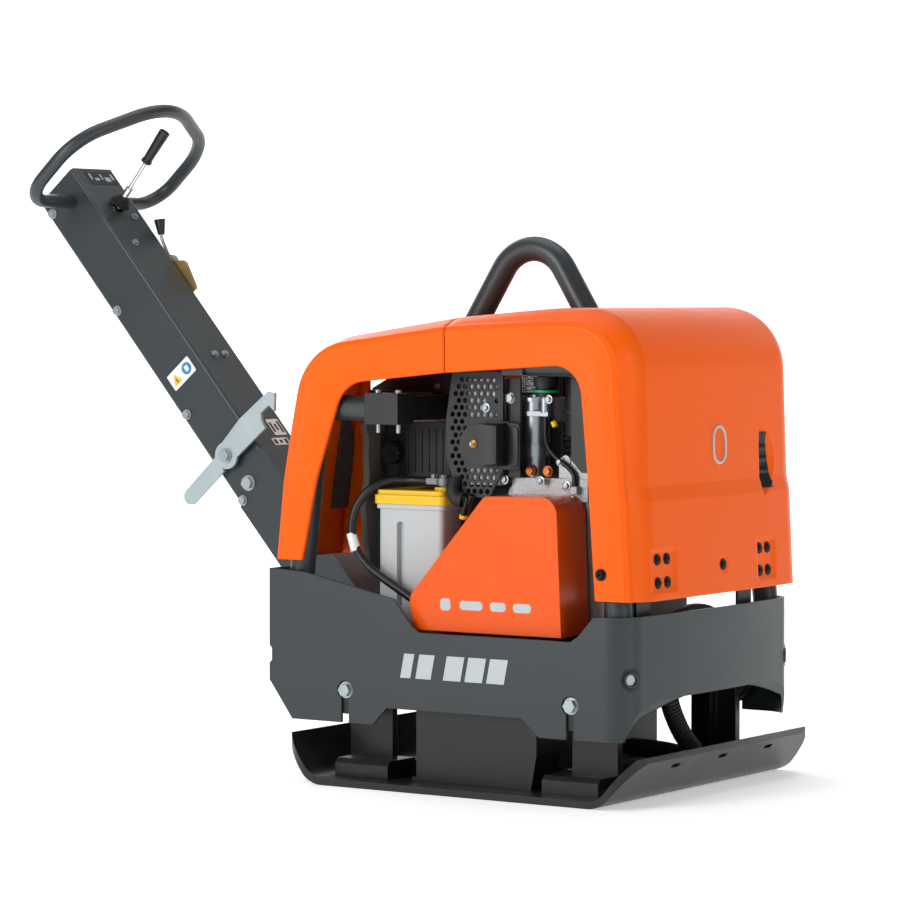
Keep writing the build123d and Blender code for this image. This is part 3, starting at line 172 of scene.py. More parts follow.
FINISHES = {
    "frame_grey": ("powder_grey", "#2b3336", dict(
        rough=0.36, grain=0.10, grain_scale=1400, mottle=0.04, dust=0.10, rounding=0.0016)),
    "orange_shell": ("shell_orange", "#f86107", dict(
        rough=0.38, coat=0.03, grain=0.06, grain_scale=1600, mottle=0.025, rounding=0.0, spec=0.14)),
    "orange_paint": ("cover_orange", "#f05806", dict(
        rough=0.26, coat=0.08, grain=0.04, mottle=0.03, rounding=0.0022, spec=0.25)),
    "plate_black": ("plate_black", "#0f0d0c", dict(
        rough=0.34, coat=0.05, grain=0.25, grain_scale=420, mottle=0.20, dust=0.10, scuff=0.10,
        rounding=0.0016)),
    "black_paint": ("black_paint", "#161617", dict(
        rough=0.42, grain=0.12, grain_scale=1100, mottle=0.12, dust=0.08, rounding=0.0010)),
    "housing_iron": ("cast_black", "#120f0e", dict(
        rough=0.42, coat=0.05, grain=0.55, grain_scale=320, mottle=0.2, dust=0.14, rounding=0.002)),
    "rubber_black": ("rubber_black", "#151515", dict(
        rough=0.62, grain=0.25, grain_scale=700, mottle=0.15, dust=0.12, rounding=0.001)),
    "zinc": ("zinc_plate", "#a8b1b5", dict(
        rough=0.33, metal=0.9, grain=0.12, grain_scale=500, mottle=0.12, mottle_scale=40, rounding=0.0007)),
    "zinc_yellow": ("zinc_yellow", "#b99a68", dict(
        rough=0.33, metal=0.9, grain=0.10, mottle=0.30, mottle_scale=26, rounding=0.0008)),
    "steel": ("steel", "#8c8f92", dict(
        rough=0.32, metal=1.0, grain=0.10, mottle=0.10, rounding=0.0008)),
    "chrome": ("chrome", "#d8dadc", dict(
        rough=0.09, metal=1.0, grain=0.02, mottle=0.02, rounding=0.0005)),
    "aluminium_cast": ("cast_aluminium", "#a6a7a8", dict(
        rough=0.42, metal=0.75, grain=0.9, grain_scale=300, mottle=0.14, mottle_scale=30, rounding=0.0025)),
    "copper": ("copper", "#b4673c", dict(
        rough=0.30, metal=0.95, grain=0.1, mottle=0.15, rounding=0.0008)),
    "tank_black": ("moulded_black", "#1c1d1f", dict(
        rough=0.48, grain=0.30, grain_scale=500, mottle=0.08, dust=0.10, rounding=0.0016)),
    "battery_grey": ("battery_grey", "#bdc1c3", dict(
        rough=0.45, grain=0.18, grain_scale=600, mottle=0.04, rounding=0.0016)),
    "battery_yellow": ("battery_yellow", "#efc010", dict(
        rough=0.38, grain=0.12, grain_scale=600, mottle=0.05, rounding=0.0018)),
    "lead": ("lead", "#83868a", dict(
        rough=0.5, metal=0.7, grain=0.4, mottle=0.15, rounding=0.001)),
    "cable_black": ("cable_black", "#0f0f10", dict(
        rough=0.45, grain=0.12, mottle=0.1, rounding=0.0)),
    "foam": ("foam", "#4b4743", dict(
        rough=0.95, grain=1.0, grain_scale=420, mottle=0.30, mottle_scale=60, sheen=0.15, rounding=0.003,
        scuff=0.35, spec=0.2)),
    "knob_black": ("knob_black", "#131213", dict(
        rough=0.30, grain=0.06, mottle=0.05, rounding=0.0016)),
    "screw_black": ("screw_black", "#141414", dict(
        rough=0.35, metal=0.6, grain=0.08, mottle=0.1, rounding=0.0007)),
    "latch_zinc": ("latch_zinc", "#a9b9bd", dict(
        rough=0.38, metal=0.35, grain=0.08, mottle=0.07, mottle_scale=30, rounding=0.0010)),
    "green_ring": ("green_ring", "#16a05c", dict(
        rough=0.3, mottle=0.03, rounding=0.0005)),
    "label_white": ("label_white", "#e6e8e8", dict(
        rough=0.35, coat=0.3, mottle=0.02, grain=0.02, rounding=0.0)),
    "label_yellow": ("label_yellow", "#e4b52a", dict(
        rough=0.35, coat=0.3, mottle=0.02, grain=0.02, rounding=0.0)),
    "label_blue": ("label_blue", "#2f7fb4", dict(
        rough=0.35, coat=0.3, mottle=0.02, grain=0.02, rounding=0.0)),
    "label_black": ("label_black", "#0e0e0e", dict(
        rough=0.3, coat=0.2, mottle=0.02, grain=0.02, rounding=0.0)),
    "label_silver": ("label_silver", "#b4bcbf", dict(
        rough=0.3, metal=0.3, coat=0.3, mottle=0.03, grain=0.03, rounding=0.0006)),
    "battery_green": ("battery_green", "#24372c", dict(
        rough=0.4, mottle=0.1, rounding=0.001)),
    "brass": ("brass", "#b48a45", dict(
        rough=0.28, metal=0.95, grain=0.08, mottle=0.1, rounding=0.0006)),
}
M = {key: surface(name, code, **finish) for key, (name, code, finish) in FINISHES.items()}


def dress(obj, name):
    obj.data.materials.clear()
    obj.data.materials.append(M[name])


for node, obj in NODES.items():
    slot = next(s["material_slot"] for s in frame["record"]["subparts"] if s["node"] == node)
    dress(obj, slot)
dress(NODES["transport_latch"], "latch_zinc")


# ---------------------------------------------------------------- planes and outlines
def facing(normal, up, origin):
    """Matrix with local Z along normal and local Y near up."""
    z = Vector(normal).normalized()
    x = Vector(up).cross(z).normalized()
    y = z.cross(x)
    m = Matrix((x, y, z)).transposed().to_4x4()
    m.translation = Vector(origin) * MM
    return m


def near_plane(x, y, z):
    """Plane through a point, looking to the near side, with local X forward and local Y up."""
    return facing((0, -1, 0), (0, 0, 1), (x, y, z))


def bar_matrix(t, n, y):
    """Frame on the drawbar: X along the bar, Y to the near side, Z out of its upper face."""
    x_axis = Vector((-math.cos(LEAN), 0, math.sin(LEAN)))
    z_axis = Vector((math.sin(LEAN), 0, math.cos(LEAN)))
    y_axis = z_axis.cross(x_axis)
    m = Matrix((x_axis, y_axis, z_axis)).transposed().to_4x4()
    m.translation = PIVOT + (x_axis * t + y_axis * y + z_axis * n) * MM
    return m


def bar_side(t, lift):
    """Frame on the near side of the bar: local X along the bar, local Y towards the upper face."""
    return bar_matrix(t, 0, BAR_SIDE + lift) @ Matrix.Rotation(math.radians(-90), 4, "X")


def lifted(matrix, height):
    return matrix @ Matrix.Translation((0, 0, height * MM))


def circle(radius, count, x=0.0, y=0.0):
    turns = [2 * math.pi * k / count for k in range(count)]
    return [(x + radius * math.cos(a), y + radius * math.sin(a)) for a in turns]


def rounded_rect(w, h, r, steps=6):
    """Rectangle about the origin with arcs at its corners, anticlockwise from its right side."""
    points = []
    right, top = w / 2 - r, h / 2 - r
    for quarter, (cx, cy) in enumerate(((right, top), (-right, top), (-right, -top), (right, -top))):
        for k in range(steps + 1):
            a = math.radians(90 * quarter + 90 * k / steps)
            points.append((cx + r * math.cos(a), cy + r * math.sin(a)))
    return points


# ---------------------------------------------------------------- mesh helpers
def new_object(name, bm, material, body, smooth=40.0):
    """Object made from a bmesh, smooth where faces meet below an angle, riding a body of the frame."""
    mesh = bpy.data.meshes.new(name)
    bmesh.ops.recalc_face_normals(bm, faces=bm.faces[:])
    bm.to_mesh(mesh)
    bm.free()
    obj = bpy.data.objects.new(name, mesh)
    bpy.context.scene.collection.objects.link(obj)
    mesh.materials.append(M[material])
    mesh.shade_smooth()
    mesh.set_sharp_from_angle(angle=math.radians(smooth))
    if body:
        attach(obj, body)
    return obj


def vert_at(bm, matrix, x, y, z):
    return bm.verts.new(matrix @ Vector((x * MM, y * MM, z * MM)))


def ring_at(bm, matrix, outline, z):
    return [vert_at(bm, matrix, x, y, z) for x, y in outline]


def bridge(bm, rings, closed=True):
    """Quads between each ring of vertices and the next."""
    for a, b in zip(rings, rings[1:]):
        for k in range(len(a) if closed else len(a) - 1):
            j = (k + 1) % len(a)
            bm.faces.new((a[k], a[j], b[j], b[k]))


def soften(bm, edges, width, segments):
    bmesh.ops.bevel(bm, geom=edges, offset=width * MM, segments=segments, profile=0.5, affect="EDGES")


def add_disc(bm, radius, depth, matrix, segments=40, bevel=0.0):
    """Disc, or a hexagon with six segments, centred on the matrix with its axis along local Z."""
    made = bmesh.ops.create_cone(bm, cap_ends=True, segments=segments, radius1=radius * MM,
                                 radius2=radius * MM, depth=depth * MM, matrix=matrix)
    if bevel > 0:
        caps = [f for f in {f for v in made["verts"] for f in v.link_faces} if len(f.verts) == segments]
        soften(bm, list({e for f in caps for e in f.edges}), bevel, 3)


def prism(bm, outline, depth, matrix, bevel=0.0):
    """Flat outline in local X and Y, thick along local Z."""
    low = ring_at(bm, matrix, outline, -depth / 2)
    high = ring_at(bm, matrix, outline, depth / 2)
    caps = [bm.faces.new(low[::-1]), bm.faces.new(high)]
    bridge(bm, [low, high])
    if bevel > 0:
        soften(bm, list({e for f in caps for e in f.edges}), bevel, 2)


# ---------------------------------------------------------------- hood outline and relief
def fillet_path(points, radii, steps=18):
    """Dense polyline: straight runs between corners rounded by tangent arcs."""
    out = [np.array(points[0], float)]
    for a, b, c, r in zip(points, points[1:], points[2:], radii):
        a, b, c = (np.array(p, float) for p in (a, b, c))
        d1, d2 = (b - a) / np.linalg.norm(b - a), (c - b) / np.linalg.norm(c - b)
        turn = math.acos(max(-1.0, min(1.0, float(d1 @ d2))))
        side = d2 - d1 * (d1 @ d2)
        side /= np.linalg.norm(side)
        start = b - d1 * r * math.tan(turn / 2)
        for k in range(steps + 1):
            th = turn * k / steps
            out.append(start + side * r * (1 - math.cos(th)) + d1 * r * math.sin(th))
    out.append(np.array(points[-1], float))
    out = np.array(out)
    moved = np.linalg.norm(np.diff(out, axis=0), axis=1) > 1e-6
    return out[np.concatenate([[True], moved])]


def lengths(path):
    """Arc length from the path's start to each of its points."""
    return np.concatenate([[0], np.cumsum(np.linalg.norm(np.diff(path, axis=0), axis=1))])


def along(path, s):
    """Points of the path at the arc lengths s."""
    length = lengths(path)
    return np.stack([np.interp(s, length, path[:, k]) for k in (0, 1)], 1)


def hood_curve(y):
    """Hood outline in X and Z at one station, from the rear's lower edge over the top to the front's."""
    reach = min(1.0, max(0.0, (HOOD_SIDE - abs(y)) / (HOOD_SIDE - HOOD_FLAT)))
    swell = 1 - (1 - reach) ** 2
    bow = HOOD_BOW * min(1.0, abs(y) / HOOD_FLAT) ** 2

    def between(a, b):
        return a + (b - a) * swell

    points = [
        (between(-377, -383), 290), (between(-355, -361), 501), (between(-336, -342), 602),
        (between(-311, -318), between(717, 731)), (-33, between(752, 773)), (150, between(759, 788)),
        (between(279, 318 - bow), between(760, 789)), (between(297, 326 - bow), 506),
        (between(300, 332 - bow), 484), (between(311, 341 - bow), 290),
    ]
    return fillet_path(points, [300, 120, between(100, 114), 700, 700, between(72, 104), 20, 20])


def arc_of(path, axis, value, front):
    """Arc length where the path first (rear) or last (front) crosses a value of X or Z."""
    length = lengths(path)
    v = path[:, axis] - value
    hits = [i for i in range(len(v) - 1) if v[i] * v[i + 1] <= 0 and v[i] != v[i + 1]]
    i = hits[-1] if front else hits[0]
    k = v[i] / (v[i] - v[i + 1])
    return length[i] + k * (length[i + 1] - length[i])


def resample(path, a, b, count):
    """Evenly spaced points of the path between two arc lengths, with the normals there."""
    s = np.linspace(a, b, count)
    look = 1.5
    tangent = along(path, s + look) - along(path, s - look)
    tangent /= np.linalg.norm(tangent, axis=1)[:, None]
    return along(path, s), np.stack([-tangent[:, 1], tangent[:, 0]], 1)


def step(v, a, b):
    t = min(1.0, max(0.0, (v - a) / (b - a)))
    return t * t * (3 - 2 * t)


def pad(y, z, y0, y1, z0, z1, soft):
    """1 inside a patch of the front, fading to 0 over the four soft widths: low y, high y, low z, high z."""
    return (step(y, y0 - soft[0], y0) * (1 - step(y, y1, y1 + soft[1]))
            * step(z, z0 - soft[2], z0) * (1 - step(z, z1, z1 + soft[3])))


def recess(y, z):
    """Depth of the grip pocket: a steep wall towards the middle, a long slope outwards, and a raised lip."""
    across = abs(z - POCKET_Z) / POCKET_HALF
    if across >= 1:
        return 0.0
    t = (y - POCKET_Y) / (44.0 * (1 - across ** 2.4) + 2)
    lip = 1.1 * math.exp(-((t - 1.04) / 0.05) ** 2) * (1 - across ** 4)
    if t <= -0.10 or t >= 1:
        return -lip
    slope = step(t, -0.10, 0.03) * (1 - max(0.0, t)) ** 0.85
    return POCKET_DEPTH * slope * (1 - across ** 5) - lip


def relief(x, y, z):
    """How far the moulded surface stands out from the plain hood: side beads and the front's recesses."""
    out = 2.3 * math.exp(-((abs(y) - 264.5) / 3.0) ** 2)
    if x > 250 and z < 660:
        out -= 3.6 * pad(y, z, -222, -163, 346, 400, (6, 13, 9, 9))
        out -= 4.2 * pad(y, z, 111, 160, 346, 400, (2.5, 14, 9, 9))
        out -= recess(y, z)
        out -= 1.2 * (1 - step(math.hypot(y - LONE_SCREW[0], z - LONE_SCREW[1]), 11, 17))
    return out


# ---------------------------------------------------------------- hood shells
OUTER_EDGE, OPENING_EDGE = 1, 2


def hood_grid(bm, stations, pieces):
    """Rows of vertices on the moulded surface, a row to each station, with quads between the rows."""
    rows = []
    for y in stations:
        path = hood_curve(y)
        row = []
        for piece in pieces:
            got = piece(path, y)
            if got is None:
                row.append(None)
                continue
            made = []
            for (x, z), (nx, nz) in zip(*got):
                lift = relief(x, y, z) if abs(y) < HOOD_SIDE - 0.5 else 0.0
                made.append(bm.verts.new(((x + nx * lift) * MM, y * MM, (z + nz * lift) * MM)))
            row.append(made)
        rows.append(row)
    for first, second in zip(rows, rows[1:]):
        for a, b in zip(first, second):
            if a and b:
                bridge(bm, [a, b], closed=False)
    return rows


def side_panel(bm, row, y, edge, mark):
    """Flat panel from the hood's rounded edge to its opening, with a return along the opening.

    Each ring of it lies a distance or a share of the way in, and some way towards the middle of the hood."""
    outer = [v for piece in row for v in piece]
    outer = [v for i, v in enumerate(outer) if i == 0 or (v.co - outer[i - 1].co).length > 1e-6]
    s = np.concatenate([[0], np.cumsum([(b.co - a.co).length for a, b in zip(outer, outer[1:])])])
    inner = edge(s / s[-1])
    inward = -math.copysign(1, y)
    for v in outer:
        v[mark] = OUTER_EDGE
    rings = [outer]
    for distance, share, drop, kind in ((7, None, 0.0, 0), (10, None, 1.2, 0), (None, 0.5, 1.2, 0),
                                        (None, 1.0, 1.2, OPENING_EDGE), (None, 1.0, 9.0, 0)):
        ring = []
        for v, (ix, iz) in zip(outer, inner):
            gap = Vector((ix * MM - v.co.x, 0, iz * MM - v.co.z))
            k = distance * MM / gap.length if distance else share
            ring.append(bm.verts.new((v.co.x + gap.x * k, (y + inward * drop) * MM, v.co.z + gap.z * k)))
            ring[-1][mark] = kind
        rings.append(ring)
    bridge(bm, rings, closed=False)


def hood_sheet(name, stations, pieces, body, nodes, edge):
    """One half of the hood: the moulded surface and its two side panels, rounded and given a wall."""
    bm = bmesh.new()
    mark = bm.verts.layers.int.new("line")
    rows = hood_grid(bm, stations, pieces)
    for end in (0, -1):
        side_panel(bm, rows[end], stations[end], edge, mark)
    bmesh.ops.remove_doubles(bm, verts=bm.verts[:], dist=2e-5)
    weight = bm.edges.layers.float.new("bevel_weight_edge")
    for e in bm.edges:
        kinds = {v[mark] for v in e.verts}
        if len(e.link_faces) == 2 and kinds in ({OUTER_EDGE}, {OPENING_EDGE}):
            e[weight] = 0.6 if kinds == {OUTER_EDGE} else 1.0
    obj = new_object(name, bm, "orange_shell", body, smooth=60)
    round_edge = obj.modifiers.new("round", "BEVEL")
    round_edge.width = 0.0045
    round_edge.segments = 4
    round_edge.limit_method = "WEIGHT"
    round_edge.use_clamp_overlap = False
    wall = obj.modifiers.new("wall", "SOLIDIFY")
    wall.thickness = HOOD_WALL * MM
    wall.offset = -1.0
    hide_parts(*nodes)
    return obj


def slot_end(y, straight, away):
    """X of the lifting eye's slot at a station: its straight end, plus its round end inside the slot."""
    if abs(y) >= SLOT_R:
        return straight
    return straight + away * math.sqrt(SLOT_R ** 2 - y * y)


def rear_pieces():
    def lower(path, y):
        if abs(y) < CHANNEL_HALF:
            return None
        return resample(path, arc_of(path, 1, REAR_LOW, False), arc_of(path, 1, REAR_TURN, False), 56)

    def corner(path, y):
        end = slot_end(y, SLOT_REAR, -1)
        return resample(path, arc_of(path, 1, REAR_TURN, False), arc_of(path, 0, end, True), 40)

    def top(path, y):
        if abs(y) < SLOT_R:
            return None
        return resample(path, arc_of(path, 0, SLOT_REAR, True), arc_of(path, 0, SPLIT_REAR, True), 16)

    return [lower, corner, top]


def front_pieces():
    def top(path, y):
        if abs(y) < SLOT_R:
            return None
        return resample(path, arc_of(path, 0, SPLIT_FRONT, False), arc_of(path, 0, SLOT_FRONT, False), 16)

    def corner(path, y):
        start = slot_end(y, SLOT_FRONT, 1)
        return resample(path, arc_of(path, 0, start, False), arc_of(path, 1, FRONT_TURN, True), 54)

    def face(path, y):
        return resample(path, arc_of(path, 1, FRONT_TURN, True), arc_of(path, 1, FRONT_LOW, True), 158)

    return [top, corner, face]


def opening(points, radii, keep):
    """Resampler along the edge of a side opening; keep pairs shares of the outer edge with shares of it."""
    path = fillet_path(points, radii)
    knots, targets = zip(*keep)

    def at(shares):
        return along(path, np.interp(shares, knots, targets) * lengths(path)[-1])

    return at


def both_sides(half):
    """Stations from one side of the hood to the other."""
    return [-y for y in half] + [0] + half[::-1]


rear_edge = opening([(-320, REAR_LOW), (-291, 503), (-236, 663), (SPLIT_REAR, 683)], [200, 60],
                    [(0, 0), (0.5, 0.56), (0.72, 0.70), (1, 1)])
front_edge = opening([(SPLIT_FRONT, 683), (221, 699), (239, 505), (251.4, FRONT_LOW)], [50, 300],
                     [(0, 0), (0.34, 0.36), (0.52, 0.50), (1, 1)])
rear_y = [HOOD_SIDE - d for d in (0, 1.5, 3, 4.5, 6, 8, 11, 15, 20, 25, 30, 36, 42, 48, 54)]
rear_y += [204, 192, 180, 160, 140, 120, 100, CHANNEL_HALF, 60, 44, SLOT_R, 24, 18, 12, 6]
front_y = [HOOD_SIDE - d for d in (0, 1.5, 3, 4.5, 6, 8, 11, 14, 18, 22, 26, 30, 34, 38, 42)]
front_y += list(np.arange(225, 108, -2.0)) + list(np.arange(105, 28, -5.0)) + [SLOT_R, 25, 21, 17, 13, 9, 5]
hood_sheet("hood_rear_shell", both_sides(rear_y), rear_pieces(), "chassis", ["hood_rear"], rear_edge)
hood_sheet("hood_front_shell", both_sides(front_y), front_pieces(), "hood_front", ["hood_front"], front_edge)


def channel_walls():
    """The two walls of the drawbar's channel in the hood's rear."""
    bm = bmesh.new()
    outline = [(-373.5, REAR_LOW), (-359.5, 501), (-340.5, 602), (-327, 672), (-312, 694), (-312, REAR_LOW)]
    inset = CHANNEL_HALF + HOOD_WALL / 2
    for y in (-inset, inset):
        prism(bm, outline, HOOD_WALL, near_plane(0, y, 0), bevel=0.8)
    return new_object("hood_channel_walls", bm, "orange_shell", "chassis")


channel_walls()


# ---------------------------------------------------------------- hood fittings
def hood_front_at(y, z):
    """X of the plain hood's front."""
    path = hood_curve(y)
    return along(path, [arc_of(path, 1, z, True)])[0][0]


def hex_socket_screw(bm, matrix):
    """Dished washer with a button screw whose socket is a hexagonal hole; matrix Z points out."""
    count, washer, head, socket = 36, 9.5, 5.6, 2.6
    profile = [(washer, 0.0), (washer, 1.2), (washer - 1.2, 2.6), (head + 1.2, 2.0), (head + 0.3, 1.6),
               (head, 1.9), (head, 3.0), (head - 1.4, 4.2), (3.2, 4.4)]
    rings = [ring_at(bm, matrix, circle(r, count), z) for r, z in profile]
    hexagon = []
    for k in range(count):
        a = 2 * math.pi * k / count
        sector = (a + math.pi / 6) % (math.pi / 3) - math.pi / 6
        r = socket * math.cos(math.pi / 6) / math.cos(sector)
        hexagon.append((r * math.cos(a), r * math.sin(a)))
    rings += [ring_at(bm, matrix, hexagon, z) for z in (4.4, 1.8)]
    bridge(bm, rings)
    bm.faces.new(rings[-1])
    bm.faces.new(rings[0][::-1])


def hood_screws():
    """Two groups of four and one between them on the hood's front, and one low on each side."""
    bm = bmesh.new()
    places = [(y + dy, z) for y in (-192, 134.5) for dy in (-14, 14) for z in (354, 391)]
    for y, z in places + [LONE_SCREW]:
        x = hood_front_at(y, z) + relief(320, y, z)
        hex_socket_screw(bm, facing((1, 0, 0.047), (0, 0, 1), (x - 0.3, y, z)))
    for side in (-1, 1):
        hex_socket_screw(bm, facing((0, side, 0), (0, 0, 1), (265, side * (HOOD_SIDE - 0.3), 368)))
    return new_object("hood_screws_detail", bm, "screw_black", "hood_front", smooth=35)


screws = hood_screws()
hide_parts("hood_screws")


def grip_insert():
    """Ribbed black insert lying on the slope of the grip pocket, narrower towards its top."""
    bm = bmesh.new()
    columns, rows = 9, 34
    low_z, height = 490, 92
    inner_y, width = 147, 25

    def sheet(lift, rib):
        grid = []
        for i in range(rows + 1):
            z = low_z + height * i / rows
            narrow = 1 - 0.45 * (i / rows) ** 2
            line = []
            for j in range(columns + 1):
                y = inner_y + width * narrow * j / columns
                ribbed = i % 7 in (3, 4) and 0 < j < columns
                x = hood_front_at(y, z) - recess(y, z) + lift + (rib if ribbed else 0.0)
                line.append(bm.verts.new((x * MM, y * MM, z * MM)))
            grid.append(line)
        bridge(bm, grid, closed=False)
        return grid[0] + [r[-1] for r in grid[1:]] + grid[-1][-2::-1] + [r[0] for r in grid[-2:0:-1]]

    top = sheet(1.6, 1.3)
    bottom = sheet(0.2, 0.0)
    bridge(bm, [top, bottom])
    return new_object("hood_grip_detail", bm, "knob_black", "hood_front")


grip = grip_insert()
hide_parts("hood_grip")


def hood_badge():
    """Plain oval ring on the hood's front, with nothing on it."""
    bm = bmesh.new()
    z = 566
    matrix = facing((1, 0, 0.03), (0, 0, 1), (hood_front_at(0, z) + 0.7, 0, z))
    outer, inner = rounded_rect(44, 64, 21.9, 14), rounded_rect(34, 54, 16.9, 14)
    loops = []
    for outline, grow, height in ((outer, 1.0, -1.0), (outer, 1.0, 0.7), (outer, 0.985, 1.1),
                                  (inner, 1.02, 1.1), (inner, 1.0, 0.7), (inner, 1.0, -1.0)):
        loops.append(ring_at(bm, matrix, [(x * grow, y * grow) for x, y in outline], height))
    bridge(bm, loops + loops[:1])
    return new_object("hood_badge", bm, "label_silver", "hood_front", smooth=50)


hood_badge()


# ---------------------------------------------------------------- labels
def flat_label(name, matrix, outline, material, body, depth=0.5):
    bm = bmesh.new()
    prism(bm, outline, depth, matrix)
    return new_object(name, bm, material, body, smooth=20)


def bar_labels():
    """White label on the bar's near side with a plain triangle and a plain disc."""
    t = 644
    for name, lift, outline, material in (
        ("bar_label", 0.2, rounded_rect(32, 60, 2.5), "label_white"),
        ("bar_label_triangle", 0.4, [(-10, 5), (10, 15), (-10, 25)], "label_yellow"),
        ("bar_label_mark", 0.6, [(-7, 13.4), (3, 15), (-7, 16.6)], "label_black"),
        ("bar_label_disc", 0.4, circle(11, 32, 0, -15), "label_blue"),
        ("bar_label_disc_mark", 0.6, [(-5, -19), (5, -19), (5, -11), (-5, -11)], "label_white"),
    ):
        flat_label(name, bar_side(t, lift), outline, material, "drawbar")


def control_panel():
    """Black panel on the upper face near the loop, with plain pale bars."""
    t = 1063
    panel = bar_matrix(t, BAR_TOP + 0.2, -10)
    flat_label("control_panel", panel, rounded_rect(30, 80, 3), "label_black", "drawbar", depth=0.8)
    for k, (w, h) in enumerate(((14, 5), (10, 14), (14, 4), (6, 12), (14, 5))):
        spot = bar_matrix(t + (-1) ** k * 3, BAR_TOP + 0.8, -40 + 15 * k)
        outline = rounded_rect(w, h, 1.2, 3)
        flat_label(f"control_mark_{k}", spot, outline, "label_silver", "drawbar", depth=0.4)


def upper_labels():
    """Two small labels with plain bars on the bar's upper face below the latch."""
    for k, (t, y, w, h) in enumerate(((478, -27, 36, 34), (446, -14, 16, 46))):
        outline = rounded_rect(w, h, 2)
        spot = bar_matrix(t, BAR_TOP + 0.3, y)
        flat_label(f"upper_label_{k}", spot, outline, "label_white", "drawbar", depth=0.4)
        for j, share in enumerate((0.7, 0.4, 0.6)):
            spot = bar_matrix(t, BAR_TOP + 0.6, y - h / 2 + h * (j + 0.5) / 3)
            outline = rounded_rect(w * share, h * 0.18, 0.8, 3)
            flat_label(f"upper_mark_{k}_{j}", spot, outline, "label_black", "drawbar", depth=0.3)


def guard_bars():
    """Plain slanted bars on the guard and plain dashes on the belt cover, in place of lettering."""
    slant, half = 4, 20
    for k, (x, w) in enumerate(((-103, 20), (-68, 30), (-12, 34), (30, 34), (72, 34))):
        low, high = -w / 2, w / 2
        outline = [(low - slant, -half), (high - slant, -half), (high + slant, half), (low + slant, half)]
        spot = near_plane(x, -GUARD_SIDE - 0.2, 204)
        flat_label(f"guard_bar_{k}", spot, outline, "label_silver", "chassis")
    for k, (x, w, h) in enumerate(((-42, 20, 20), (8, 44, 15), (60, 30, 15), (106, 34, 15))):
        spot = near_plane(x, -COVER_SIDE - 0.2, 306)
        flat_label(f"cover_bar_{k}", spot, rounded_rect(w, h, 6), "label_silver", "chassis")


bar_labels()
control_panel()
upper_labels()
guard_bars()


def corner_port(side, name):
    """Dark dished ring round the screw at one of the guard's front corners, bent to the corner's radius."""
    bm = bmesh.new()
    turn = math.radians(32)
    outward = (math.cos(turn), side * math.sin(turn), 0)
    axis = (GUARD_FRONT - GUARD_CORNER_R, side * (GUARD_SIDE - GUARD_CORNER_R), 202)
    face = facing(outward, (0, 0, 1), axis)
    rings = []
    for radius, lift in ((18.6, -0.4), (18.4, 0.5), (17.6, 0.9), (14.6, 0.9), (13.4, 0.2), (9.8, -1.6)):
        bent = [(x, y, math.sqrt(GUARD_CORNER_R ** 2 - x * x) + lift) for x, y in circle(radius, 56)]
        rings.append([vert_at(bm, face, *place) for place in bent])
    bridge(bm, rings)
    return new_object(name, bm, "black_paint", "chassis")


corner_port(-1, "corner_port_near")
corner_port(1, "corner_port_far")


# ---------------------------------------------------------------- engine bay
def hex_bolt(bm, x, y, z, size=5.5, washer=7.5):
    """Flanged hexagon bolt on a face that looks to the near side."""
    matrix = near_plane(x, y, z)
    turn = Matrix.Rotation(random.uniform(0, 1), 4, "Z")
    add_disc(bm, washer, 1.4, lifted(matrix, 0.7), segments=32, bevel=0.4)
    add_disc(bm, size, 5.0, lifted(matrix @ turn, 3.6), segments=6, bevel=0.6)
    add_disc(bm, size * 0.52, 0.8, lifted(matrix, 6.2), segments=24)


def filler_ring():
    """Green ring under the filler cap."""
    bm = bmesh.new()
    add_disc(bm, 22.4, 5, Matrix.Translation((0.092, -0.160, 0.653)), segments=48, bevel=1.5)
    return new_object("filler_ring", bm, "green_ring", "chassis")


def far_shade_backing():
    """Black sheet with ribs on the far side of the engine, shaped like a pressed cowl: painted shade, a dark
    backing that stands where the bay shows only shade.
    """
    bm = bmesh.new()
    y, z = 126, 580
    prism(bm, rounded_rect(274, 216, 24), 3.0, near_plane(24, y, z), bevel=0.8)
    for k in range(9):
        prism(bm, rounded_rect(7, 170, 3.4), 4.0, near_plane(-80 + 26 * k, y - 3.5, z), bevel=0.8)
    return new_object("far_shade_backing", bm, "tank_black", "chassis")


def battery_shield():
    """Black heat shield standing between the battery and the engine."""
    bm = bmesh.new()
    outline = [(-150, 300), (45, 300), (45, 516), (-128, 516), (-150, 494)]
    prism(bm, outline, 2.5, facing((1, 0, 0), (0, 0, 1), (-68, 0, 0)), bevel=0.6)
    return new_object("battery_shield", bm, "black_paint", "chassis")


def foam_patch():
    """Foam stuck to the hood's rear wall."""
    bm = bmesh.new()
    outline = [(-126, -75), (-84, -75), (-84, 20), (-92, 60), (-108, 82), (-126, 88)]
    prism(bm, outline, 8, facing((1, 0, -0.14), (0, 0, 1), (-349, 0, 520)), bevel=2.0)
    return new_object("foam_patch", bm, "foam", "chassis")


def battery_top():
    """Dark round cap in the battery's lid."""
    bm = bmesh.new()
    add_disc(bm, 38, 5, Matrix.Translation((-0.150, -0.120, 0.4945)), segments=64, bevel=1.2)
    return new_object("battery_top", bm, "battery_green", "chassis")


def rear_bulkhead():
    """Upright black plate above the fuel tank, with three small bolts."""
    y, thick = -60, 3.0
    bm = bmesh.new()
    outline = [(-322, 610), (-322, 650), (-272, 676), (-96, 688), (-96, 610)]
    prism(bm, outline, thick, near_plane(0, y, 0), bevel=0.8)
    new_object("rear_bulkhead", bm, "black_paint", "chassis")
    bm = bmesh.new()
    for x, z in ((-150, 664), (-186, 655), (-128, 650)):
        hex_bolt(bm, x, y - thick / 2, z, 3.6, 5.0)
    new_object("bulkhead_bolts", bm, "zinc", "chassis", smooth=35)


